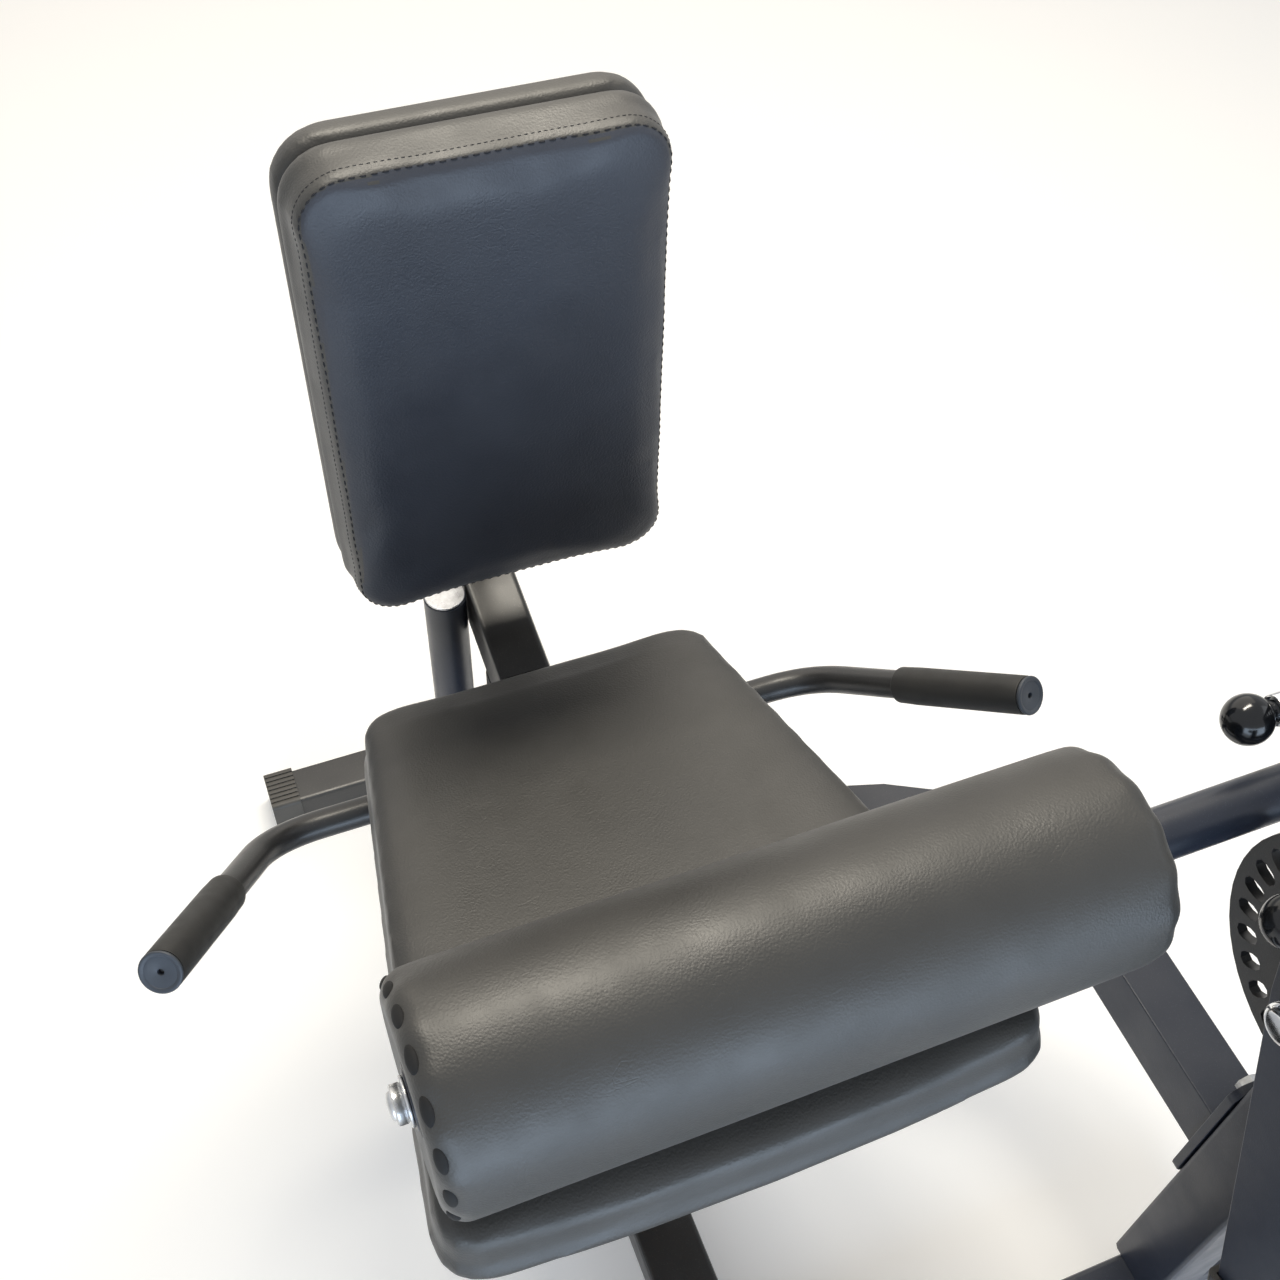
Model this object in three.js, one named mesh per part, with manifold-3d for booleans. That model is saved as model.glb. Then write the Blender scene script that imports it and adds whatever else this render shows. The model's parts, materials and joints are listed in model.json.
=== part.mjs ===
// Seated leg extension and leg curl machine, plate loaded.
// Millimetres, +Z up. The user sits facing -Y, and the leg mechanism is on the +X side.
// Design frame: x = 0 is the middle of the seat and z = 0 is the floor. The whole machine is
// shifted at the end so that the exported origin is the middle of its footprint, on the floor.
import * as THREE from "three";
import { mergeVertices } from "three/addons/utils/BufferGeometryUtils.js";
import Module from "manifold-3d";

const wasm = await Module();
wasm.setup();

// ---------------------------------------------------------------- driving dimensions
const touch = 0.3; // gap left between two pieces that are welded, bolted or seated together
const run = 0.4; // radial or side clearance of a piece that slides or turns on another
const wall = 3; // wall of the steel tubes
const plate = 8; // thickness of the steel plates

// cross tubes; lift is the wall of the foot caps that they stand in
const base = { width: 46, height: 45, lift: 3, corner: 5 };
const rearTube = { y: 355, halfLength: 238 };
const frontTube = { y: -468, left: -238, right: 520 };
const footCap = { length: 33, grip: 26, ribs: 7, ribDepth: 1.6 };
const spine = { width: 60 };

const seat = {
  backY: 106, // rear top edge of the pad
  backZ: 493.7,
  tilt: 10.5, // degrees, rising towards the front
  length: 504,
  thickness: 52,
  rearHalf: 165,
  frontHalf: 226,
  corner: 44,
  bow: 14, // how far the front edge bulges
  roll: 11, // radius of the pad's edges
};
const board = { thickness: 12, inset: 14 };
const rail = { width: 50, height: 50, frontGap: 60, corner: 6 };
const seatPost = { width: 50, depth: 50, y: -46 };
const rearLeg = { depth: 50, y: 143 };
const beam = { width: 50, height: 50, tilt: 13, y: 118.3, topZ: 456.4, end: 372 };
const peg = {
  radius: 19.6,
  y: 215,
  top: 474,
  footWidth: 96,
  footDepth: 56,
  footThickness: 6,
  footEdge: 8, // from the tube to the foot plate's left edge
  capDepth: 10,
};

const backPad = {
  y: 128.6,
  z: 572.5,
  lean: 2.15,
  width: 276,
  height: 414,
  corner: 42,
  front: 49, // thickness of the front cushion
  rear: 23, // thickness of the rear layer
  groove: 3, // between the two
  drop: 8, // how far the pad reaches below its stitched face
};
const carriage = { wall: 6, length: 70, start: 128, corner: 8, barrel: 24 };
const upright = {
  size: 40,
  setback: 34, // from the back of the pad to the tube
  height: 300,
  spacers: [70, 240],
  spacerHeight: 50,
  lugWidth: 90,
  lugHeight: 64,
};

const handle = {
  radius: 12.5,
  y: 45,
  rise: 13.12, // from the rail's axis up to the tube's
  elbowX: 252,
  bend: 46,
  end: [343.5, -129, 575],
  gripLength: 132,
  gripRadius: 16,
  capLength: 4,
  capHole: 2.5,
};

const post = { x: 401, width: 60, depth: 60, rearY: -434 };
const arm = { width: 50, height: 60, bottom: 283, bendRadius: 225 };
const flange = { width: 60, bottom: 236, top: 402, corner: 14, boltInset: 26 };
const bolt = { radius: 5, headRadius: 9.5, headLength: 7, washerRadius: 11, washer: 2 };

const axis = { y: -450, z: 618 }; // main pivot, along X
const housing = { radius: 30, bore: 26.2, right: 489 };
const bearing = { width: 14 };
const axle = { radius: 15 };
const disc = {
  x: 389,
  thickness: 8,
  radius: 116.5,
  slots: 28,
  slotRadius: 97.5,
  slotLength: 21,
  slotWidth: 13,
};
const lever = {
  x: 352,
  width: 35,
  depth: 60,
  angle: 19.6,
  length: 445,
  headRadius: 20.5,
  solidBelow: 42, // where the tube's hollow starts, below the pivot
  knob: 26, // from the tube's side to the middle of the pin's knob
};
const hubCap = { radius: 16, length: 20 };
// beyond: how far a plunger's tip passes the plate it locks
const pin = { radius: 8, barrelRadius: 12, knobRadius: 18.5, knobGap: 3, beyond: 2 };

const thigh = {
  shaftY: -314,
  shaftZ: 661,
  shaftRadius: 19,
  radius: 77,
  left: -214,
  right: 282,
  dome: 16,
  plateX: 465,
  plateThickness: 12,
  hubRadius: 42,
  shaftBoss: 28,
  pinBoss: 21,
  pinY: -272,
  pinZ: 699,
  knobX: 403,
  threadRadius: 8,
  threadLength: 8,
  nut: { washerRadius: 16, washer: 2, hexRadius: 12.6, hex: 7.6, domeRadius: 9.4, dome: 3.4 },
  coreWall: 3.5,
  collarRadius: 30,
  collarWidth: 11,
};
// from and pitch are degrees about the main pivot; the lock holes are one pitch apart
const quadrant = { x: 480, thickness: 8, from: -8, holes: 7, pitch: 7, rim: 22, hubRadius: 46 };

const shin = {
  along: 360, // from the main pivot down the lever to the roller's axle
  sleeveLength: 90,
  sleeveWall: 6,
  rollerRadius: 55,
  left: -190,
  right: 190,
  dome: 14,
  axleRadius: 12.5,
  threadRadius: 6,
  threadLength: 14,
};
const weight = {
  x: 495,
  width: 20,
  depth: 60,
  hubRadius: 36,
  along: 300,
  hornRadius: 24,
  hornLength: 200,
  stop: 45,
};
const axleNut = { across: 48, width: 12 };
const plugDepth = 14; // how far a plastic plug reaches into its tube
const plugFace = 3;

// ---------------------------------------------------------------- materials
const material = (color, roughness, metalness = 0) =>
  new THREE.MeshStandardMaterial({ color, roughness, metalness });
const paint = material(0x26272b, 0.42, 0.35);
const vinyl = material(0x191a1d, 0.5);
const rubber = material(0x1c1d1e, 0.75);
const plastic = material(0x2e2f31, 0.6);
const ball = material(0x0b0c0e, 0.12);
const zinc = material(0xb9bcc0, 0.35, 0.9);
const chrome = material(0xd6d9dd, 0.12, 1);
const steel = material(0x8d9196, 0.4, 0.9);
const timber = material(0x6d5334, 0.8);

// ---------------------------------------------------------------- solids
const deg = THREE.MathUtils.degToRad;

function solid(geometry) {
  const bare = geometry.clone();
  bare.deleteAttribute("normal");
  bare.deleteAttribute("uv");
  const merged = mergeVertices(bare, 1e-4);
  const vertProperties = merged.attributes.position.array;
  const made = (triVerts) => new wasm.Manifold(new wasm.Mesh({ numProp: 3, vertProperties, triVerts }));
  const triVerts = new Uint32Array(merged.index.array);
  const first = made(triVerts);
  if (first.volume() > 0) return first;
  for (let i = 0; i < triVerts.length; i += 3) {
    [triVerts[i + 1], triVerts[i + 2]] = [triVerts[i + 2], triVerts[i + 1]];
  }
  return made(triVerts);
}

function geometryOf(body) {
  const { numProp, vertProperties, triVerts } = body.getMesh();
  const position = new Float32Array((vertProperties.length / numProp) * 3);
  for (let i = 0; i < position.length / 3; i++) {
    position.set(vertProperties.subarray(i * numProp, i * numProp + 3), i * 3);
  }
  const geometry = new THREE.BufferGeometry();
  geometry.setAttribute("position", new THREE.BufferAttribute(position, 3));
  geometry.setIndex(new THREE.BufferAttribute(new Uint32Array(triVerts), 1));
  return geometry;
}

const join = (first, ...rest) => geometryOf(rest.reduce((body, g) => body.add(solid(g)), solid(first)));
const cut = (first, ...rest) => geometryOf(rest.reduce((body, g) => body.subtract(solid(g)), solid(first)));

// ---------------------------------------------------------------- outlines and bars
function roundedRect(width, height, radius) {
  const [x, y] = [width / 2, height / 2];
  const shape = new THREE.Shape();
  shape.moveTo(x - radius, -y);
  shape.absarc(x - radius, radius - y, radius, -Math.PI / 2, 0);
  shape.absarc(x - radius, y - radius, radius, 0, Math.PI / 2);
  shape.absarc(radius - x, y - radius, radius, Math.PI / 2, Math.PI);
  shape.absarc(radius - x, radius - y, radius, Math.PI, 1.5 * Math.PI);
  return shape;
}

// A slot outline from point p to point q with round ends.
function slot(p, q, radius) {
  const angle = Math.atan2(q[1] - p[1], q[0] - p[0]);
  const shape = new THREE.Shape();
  shape.absarc(q[0], q[1], radius, angle - Math.PI / 2, angle + Math.PI / 2);
  shape.absarc(p[0], p[1], radius, angle + Math.PI / 2, angle + 1.5 * Math.PI);
  return shape;
}

// How the outline's own x, y and depth lie in space for a bar along each axis.
const unit = (x, y, z) => new THREE.Vector3(x, y, z);
const turned = {
  x: new THREE.Matrix4().makeBasis(unit(0, 1, 0), unit(0, 0, 1), unit(1, 0, 0)),
  y: new THREE.Matrix4().makeBasis(unit(1, 0, 0), unit(0, 0, 1), unit(0, -1, 0)),
  z: new THREE.Matrix4(),
};

// The outline pushed along an axis from one value to another. Its centre sits at (u, v) of the
// other two axes: (y, z) for x, (x, z) for y and (x, y) for z.
function bar(shape, along, from, to, [u, v] = [0, 0], curveSegments = 2) {
  const geometry = new THREE.ExtrudeGeometry(shape, { depth: to - from, bevelEnabled: false, curveSegments });
  geometry.translate(u, v, along === "y" ? -to : from);
  return geometry.applyMatrix4(turned[along]);
}

// A rectangular tube, open at both ends.
function boxTube(width, height, radius, along, from, to, centre, thickness = wall) {
  const outer = roundedRect(width, height, radius);
  const inner = roundedRect(width - 2 * thickness, height - 2 * thickness, Math.max(radius - thickness, 0.5));
  return cut(
    bar(outer, along, from, to, centre, 1),
    bar(inner, along, from - 1, to + 1, centre, 1),
  );
}

// A round body about an axis along X through (y, z). The profile is a list of [radius, x].
function turnedX(profile, y, z, segments = 20) {
  const points = profile.map(([r, x]) => new THREE.Vector2(r, x));
  const geometry = new THREE.LatheGeometry(points, segments).rotateZ(-Math.PI / 2);
  return geometryOf(solid(geometry)).translate(0, y, z);
}
const rod = (radius, x0, x1, y, z, segments) =>
  turnedX([[0, x0], [radius, x0], [radius, x1], [0, x1]], y, z, segments);
const ring = (inner, outer, x0, x1, y, z, segments) =>
  turnedX([[inner, x0], [outer, x0], [outer, x1], [inner, x1], [inner, x0]], y, z, segments);

// Paths for swept bars. Each gives its curve with both ends carried on by some extra length.
const straight = (start, end) => (extra = 0) => {
  const along = end.clone().sub(start).normalize();
  const before = start.clone().addScaledVector(along, -extra);
  return new THREE.LineCurve3(before, end.clone().addScaledVector(along, extra));
};
const bent = (start, corner, end, trim) => (extra = 0) => {
  const into = corner.clone().sub(start).normalize();
  const out = end.clone().sub(corner).normalize();
  const a = corner.clone().addScaledVector(into, -trim);
  const b = corner.clone().addScaledVector(out, trim);
  const path = new THREE.CurvePath();
  path.add(new THREE.LineCurve3(start.clone().addScaledVector(into, -extra), a));
  path.add(new THREE.QuadraticBezierCurve3(a, corner, b));
  path.add(new THREE.LineCurve3(b, end.clone().addScaledVector(out, extra)));
  return path;
};

// A round bar along a path, bored through if a bore radius is given.
function swept(pathOf, radius, bore = 0, steps = 9) {
  const circle = (r) => new THREE.Shape().absarc(0, 0, r, 0, 2 * Math.PI);
  const along = (r, extra) =>
    new THREE.ExtrudeGeometry(circle(r), { steps, extrudePath: pathOf(extra), curveSegments: 7 });
  return bore ? cut(along(radius, 0), along(bore, 1)) : geometryOf(solid(along(radius, 0)));
}

// ---------------------------------------------------------------- scene graph
const machine = new THREE.Group();

function frameAt(parent, y, z, tilt = 0) {
  const group = new THREE.Group();
  group.position.set(0, y, z);
  group.rotation.x = deg(tilt);
  parent.add(group);
  return group;
}

function add(parent, name, geometry, finish) {
  const mesh = new THREE.Mesh(geometry, finish);
  mesh.name = name;
  parent.add(mesh);
  return mesh;
}

// A geometry given in one frame, as seen from another.
function seenFrom(geometry, from, to) {
  from.updateMatrixWorld(true);
  to.updateMatrixWorld(true);
  return geometry.clone().applyMatrix4(to.matrixWorld.clone().invert().multiply(from.matrixWorld));
}

const block = (x0, x1, y0, y1, z0, z1) =>
  new THREE.BoxGeometry(x1 - x0, y1 - y0, z1 - z0).translate((x0 + x1) / 2, (y0 + y1) / 2, (z0 + z1) / 2);

// ---------------------------------------------------------------- base
const baseTop = base.lift + base.height;
const baseMiddle = base.lift + base.height / 2;
const rearFace = (tube) => tube.y + base.width / 2;
const frontFace = (tube) => tube.y - base.width / 2;

// A foot cap for the tube's end at x = end, on its left (side -1) or right (side 1).
function footCapBody(tube, end, side) {
  const outer = base.width + 2 * base.lift;
  const height = base.height + 2 * base.lift;
  const inner = end - side * footCap.grip;
  const closed = inner + side * footCap.length;
  const [x0, x1] = [Math.min(inner, closed), Math.max(inner, closed)];
  const body = bar(roundedRect(outer, height, base.corner), "x", x0, x1, [tube.y, height / 2], 3);
  const pocketEnds = [inner - side, end + side * touch];
  const pocket = bar(
    roundedRect(base.width + 2 * touch, base.height + 2 * touch, base.corner - base.lift + 1),
    "x",
    Math.min(...pocketEnds),
    Math.max(...pocketEnds),
    [tube.y, baseMiddle],
    2,
  );
  const pitch = (outer - 2 * base.corner) / footCap.ribs;
  const grooves = [];
  for (let i = 0; i < footCap.ribs; i++) {
    const y = tube.y - outer / 2 + base.corner + (i + 0.5) * pitch;
    grooves.push(block(x0 - 1, x1 + 1, y - pitch / 5, y + pitch / 5, height - footCap.ribDepth, height + 1));
  }
  return cut(body, pocket, ...grooves);
}

function buildBase(parent) {
  const section = [base.width, base.height, base.corner];
  const crossTube = (x0, x1, y) => boxTube(...section, "x", x0, x1, [y, baseMiddle]);
  add(parent, "rear_cross_tube", crossTube(-rearTube.halfLength, rearTube.halfLength, rearTube.y), paint);
  add(parent, "front_cross_tube", crossTube(frontTube.left, frontTube.right, frontTube.y), paint);
  const [front, rear] = [rearFace(frontTube) + touch, frontFace(rearTube) - touch];
  const along = boxTube(spine.width, base.height, base.corner, "y", front, rear, [0, baseMiddle]);
  add(parent, "base_spine", along, paint);
  const ends = [
    ["foot_cap_rear_left", rearTube, -rearTube.halfLength, -1],
    ["foot_cap_rear_right", rearTube, rearTube.halfLength, 1],
    ["foot_cap_front_left", frontTube, frontTube.left, -1],
    ["foot_cap_front_right", frontTube, frontTube.right, 1],
  ];
  for (const [name, tube, end, side] of ends) {
    add(parent, name, footCapBody(tube, end, side), plastic);
  }
}

// ---------------------------------------------------------------- seat
// In the seat's own frame: y = 0 at the pad's rear edge, z = 0 at its top, y negative to the front.
function seatOutline(inset = 0) {
  const [rear, front, length] = [seat.rearHalf - inset, seat.frontHalf - inset, seat.length - 2 * inset];
  const r = seat.corner - inset / 2;
  const y0 = -inset;
  const y1 = y0 - length;
  const middle = rear + (front - rear) * 0.62;
  const shape = new THREE.Shape();
  shape.moveTo(rear - r, y0);
  shape.quadraticCurveTo(rear, y0, rear + 2, y0 - r);
  shape.quadraticCurveTo(middle, (y0 + y1) / 2, front, y1 + r);
  shape.quadraticCurveTo(front + 1, y1 + 2, front - r, y1);
  shape.quadraticCurveTo(0, y1 - seat.bow, r - front, y1);
  shape.quadraticCurveTo(-front - 1, y1 + 2, -front, y1 + r);
  shape.quadraticCurveTo(-middle, (y0 + y1) / 2, -rear - 2, y0 - r);
  shape.quadraticCurveTo(-rear, y0, r - rear, y0);
  return shape;
}

// A cushion: the outline with rounded edges, between two heights.
function cushion(outline, low, high, roll, curveSegments = 4) {
  const settings = {
    depth: high - low - 2 * roll,
    bevelThickness: roll,
    bevelSize: roll,
    bevelOffset: -roll,
    bevelSegments: 2,
    curveSegments,
  };
  return geometryOf(solid(new THREE.ExtrudeGeometry(outline, settings))).translate(0, 0, low + roll);
}

const boardTop = -seat.thickness - touch;
const railTop = boardTop - board.thickness - touch;
const railMiddle = railTop - rail.height / 2;

// The height of the rail's axis at a place along the machine.
function railAxisAt(y) {
  const tilt = deg(seat.tilt);
  const alongSeat = (y - seat.backY - railMiddle * Math.sin(tilt)) / Math.cos(tilt);
  return seat.backZ - alongSeat * Math.sin(tilt) + railMiddle * Math.cos(tilt);
}

function buildSeat(parent) {
  const frame = frameAt(parent, seat.backY, seat.backZ, -seat.tilt);
  add(frame, "seat_pad", cushion(seatOutline(), -seat.thickness, 0, seat.roll), vinyl);
  add(frame, "seat_board", bar(seatOutline(board.inset), "z", boardTop - board.thickness, boardTop), timber);

  const front = rail.frontGap - seat.length;
  const long = boxTube(rail.width, rail.height, rail.corner, "y", front, rail.height * 2, [0, railMiddle]);
  const legFront = rearLeg.y - rearLeg.depth / 2 - touch;
  const behind = block(-rail.width, rail.width, legFront, 2 * beam.end, 0, 2 * seat.backZ);
  add(frame, "seat_rail", cut(long, seenFrom(behind, parent, frame)), paint);
  const plug = tubePlug(rail, "y", front, 1, [0, railMiddle]);
  add(frame, "seat_rail_plug", plug, plastic);
  return frame;
}

// A plastic plug in a tube's end at a place along an axis. inward is 1 where the tube runs on to
// higher values, and -1 where it runs to lower ones.
function tubePlug(tube, along, end, inward, centre) {
  const between = (a, b) => [Math.min(a, b), Math.max(a, b)];
  const outer = roundedRect(tube.width, tube.height, rail.corner);
  const slack = 2 * (wall + touch);
  const inner = roundedRect(tube.width - slack, tube.height - slack, rail.corner - wall);
  const face = between(end - inward * touch, end - inward * (touch + plugFace));
  const body = between(end - inward * (touch + plugFace / 2), end + inward * plugDepth);
  return join(bar(outer, along, ...face, centre, 1), bar(inner, along, ...body, centre, 1));
}

// A vertical tube whose top follows the underside of another piece, given as a cutter.
function standing(width, depth, y, low, high, ...cutters) {
  return cut(boxTube(width, depth, rail.corner, "z", low, high, [0, y]), ...cutters);
}

function buildSupports(parent, seatFrame) {
  const low = baseTop + touch;
  const railBottom = railTop - rail.height - touch;
  const aboveRail = block(-rail.width, rail.width, -2 * seat.length, seat.length, railBottom, seat.backZ);
  const underRail = seenFrom(aboveRail, seatFrame, parent);
  const { width, depth, y } = seatPost;
  add(parent, "seat_post", standing(width, depth, y, low, seat.backZ, underRail), paint);

  const beamFrame = frameAt(parent, beam.y, beam.topZ, beam.tilt);
  const centre = [0, -beam.height / 2];
  const long = boxTube(beam.width, beam.height, rail.corner, "y", -beam.height, beam.end - beam.y, centre);
  const before = block(-beam.width, beam.width, -beam.end, beam.y, 0, 2 * beam.topZ);
  add(beamFrame, "rear_beam", cut(long, seenFrom(before, parent, beamFrame)), paint);
  const beamPlug = tubePlug(beam, "y", beam.end - beam.y, -1, centre);
  add(beamFrame, "rear_beam_plug", beamPlug, plastic);

  const aboveBeam = block(-beam.width, beam.width, -beam.end, beam.end, -beam.height - touch, beam.height);
  const underBeam = seenFrom(aboveBeam, beamFrame, parent);
  add(parent, "rear_leg", standing(beam.width, rearLeg.depth, rearLeg.y, low, beam.topZ, underBeam), paint);
  return beamFrame;
}

// The round peg beside the rear beam, on its own foot plate.
function buildPeg(parent) {
  const x = -beam.width / 2 - touch - peg.radius;
  const low = baseTop + touch;
  const footTop = low + peg.footThickness;
  const footMiddle = x + peg.footWidth / 2 - peg.radius - peg.footEdge;
  const foot = bar(roundedRect(peg.footWidth, peg.footDepth, 8), "z", low, footTop, [footMiddle, peg.y], 3);
  const round = (radius, z0, z1) =>
    turnedX([[0, z0], [radius, z0], [radius, z1], [0, z1]], 0, 0, 28)
      .rotateY(-Math.PI / 2)
      .translate(x, peg.y, 0);
  const bore = peg.radius - wall;
  const tube = cut(round(peg.radius, footTop - 1, peg.top), round(bore, footTop, peg.top + 1));
  add(parent, "round_peg", join(tube, foot), paint);
  const capTop = peg.top + touch + 2.5;
  const cap = join(
    round(bore - touch, peg.top - peg.capDepth, peg.top + 1),
    round(peg.radius - 1, peg.top + touch, capTop),
  );
  add(parent, "round_peg_cap", cap, zinc);
}

// ---------------------------------------------------------------- handles
function buildHandle(parent, side, word) {
  const point = (x, y, z) => new THREE.Vector3(side * x, y, z);
  const height = railAxisAt(handle.y) + handle.rise;
  const start = point(rail.width / 2 + touch, handle.y, height);
  const corner = point(handle.elbowX, handle.y, height);
  const end = point(...handle.end);
  const out = end.clone().sub(corner).normalize();
  const tube = swept(bent(start, corner, end, handle.bend), handle.radius, handle.radius - wall);
  add(parent, "handle_" + word, tube, paint);

  const beyond = (distance) => end.clone().addScaledVector(out, distance);
  const grip = swept(straight(beyond(-handle.gripLength), beyond(1)), handle.gripRadius, handle.radius + run, 2);
  add(parent, "grip_" + word, grip, rubber);

  const capStart = 1 + touch;
  const face = swept(straight(beyond(capStart), beyond(capStart + handle.capLength)), handle.gripRadius, 0, 1);
  const plug = swept(straight(beyond(-12), beyond(capStart + 1)), handle.radius - wall - touch, 0, 1);
  const hole = swept(straight(beyond(-4), beyond(capStart + handle.capLength + 1)), handle.capHole, 0, 1);
  add(parent, "grip_cap_" + word, cut(join(face, plug), hole), plastic);
}

// ---------------------------------------------------------------- back rest
function buildBack(parent, beamFrame) {
  // The sleeve that slides on the rear beam.
  const [width, height] = [beam.width + 2 * run, beam.height + 2 * run];
  const outer = [width + 2 * carriage.wall, height + 2 * carriage.wall];
  const centre = [0, -beam.height / 2];
  const sleeveEnd = carriage.start + carriage.length;
  const sleeveFrame = frameAt(parent, beam.y, beam.topZ, beam.tilt);
  const sleeve = cut(
    bar(roundedRect(...outer, carriage.corner), "y", carriage.start, sleeveEnd, centre, 3),
    bar(roundedRect(width, height, rail.corner), "y", carriage.start - 1, sleeveEnd + 1, centre, 3),
    rod(pin.radius + run, 0, outer[0], carriage.start + carriage.length / 2, centre[1], 16),
  );

  const padFrame = frameAt(parent, backPad.y, backPad.z, -backPad.lean);
  const middleZ = backPad.height / 2 - backPad.drop;
  const lying = (geometry) => geometry.rotateX(Math.PI / 2).translate(0, 0, middleZ);
  const outline = (inset) =>
    roundedRect(backPad.width - 2 * inset, backPad.height - 2 * inset, backPad.corner - inset / 2);
  add(padFrame, "back_pad", lying(cushion(outline(0), -backPad.front, 0, 10)), vinyl);
  const rearStart = backPad.front + touch;
  const rearEnd = rearStart + backPad.groove + backPad.rear;
  const neck = lying(bar(outline(10), "z", -rearStart - backPad.groove - 1, -rearStart));
  const shell = lying(cushion(outline(2), -rearEnd, -rearStart - backPad.groove, 6));
  add(padFrame, "back_board", join(neck, shell), vinyl);

  // The upright stands on the sleeve, parallel to the pad, and two spacers carry the pad.
  const y0 = rearEnd + upright.setback;
  const middle = y0 + upright.size / 2;
  const tall = boxTube(upright.size, upright.size, rail.corner, "z", -backPad.z / 2, upright.height, [0, middle]);
  const sleeveTop = carriage.wall + run + touch;
  const below = block(-beam.width, beam.width, -beam.end, beam.end, -2 * beam.topZ, sleeveTop);
  const section = roundedRect(upright.size, upright.size, rail.corner);
  const lid = bar(section, "z", upright.height - 1, upright.height + wall, [0, middle], 3);
  const spacer = roundedRect(upright.size, upright.spacerHeight, 4);
  const lug = roundedRect(upright.lugWidth, upright.lugHeight, 6);
  const padBack = rearEnd + touch;
  const brackets = upright.spacers.flatMap((z) => [
    bar(spacer, "y", padBack + 1, y0 + 1, [0, z], 3),
    bar(lug, "y", padBack, padBack + plate / 2, [0, z], 2),
  ]);
  const column = cut(tall, seenFrom(below, sleeveFrame, padFrame));
  add(padFrame, "back_upright", join(column, lid, ...brackets), paint);

  // Spring pin that locks the sleeve, on its right side.
  const x0 = outer[0] / 2;
  const [py, pz] = [carriage.start + carriage.length / 2, centre[1]];
  const barrel = ring(pin.radius + run, pin.barrelRadius, x0 - 1, x0 + carriage.barrel, py, pz, 20);
  add(sleeveFrame, "carriage_sleeve", join(sleeve, barrel), paint);
  const knobX = x0 + carriage.barrel + pin.knobGap + pin.knobRadius;
  add(sleeveFrame, "carriage_pin", pinWithKnob(pin.radius, beam.width / 2 + touch, knobX, py, pz), ball);
}

// A spring pin: its plunger runs from the tip to the middle of its ball knob.
function pinWithKnob(radius, tip, knobX, y, z) {
  const profile = [];
  for (let i = 0; i <= 8; i++) {
    const angle = (Math.PI * i) / 8;
    profile.push([i % 8 ? pin.knobRadius * Math.sin(angle) : 0, knobX - pin.knobRadius * Math.cos(angle)]);
  }
  const knob = turnedX(profile, y, z, 16);
  return join(knob, rod(radius, Math.min(tip, knobX), Math.max(tip, knobX), y, z, 20));
}

// ---------------------------------------------------------------- mechanism side of the frame
const postMiddle = post.x + post.width / 2;
const postCentreY = post.rearY - post.depth / 2;

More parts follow.
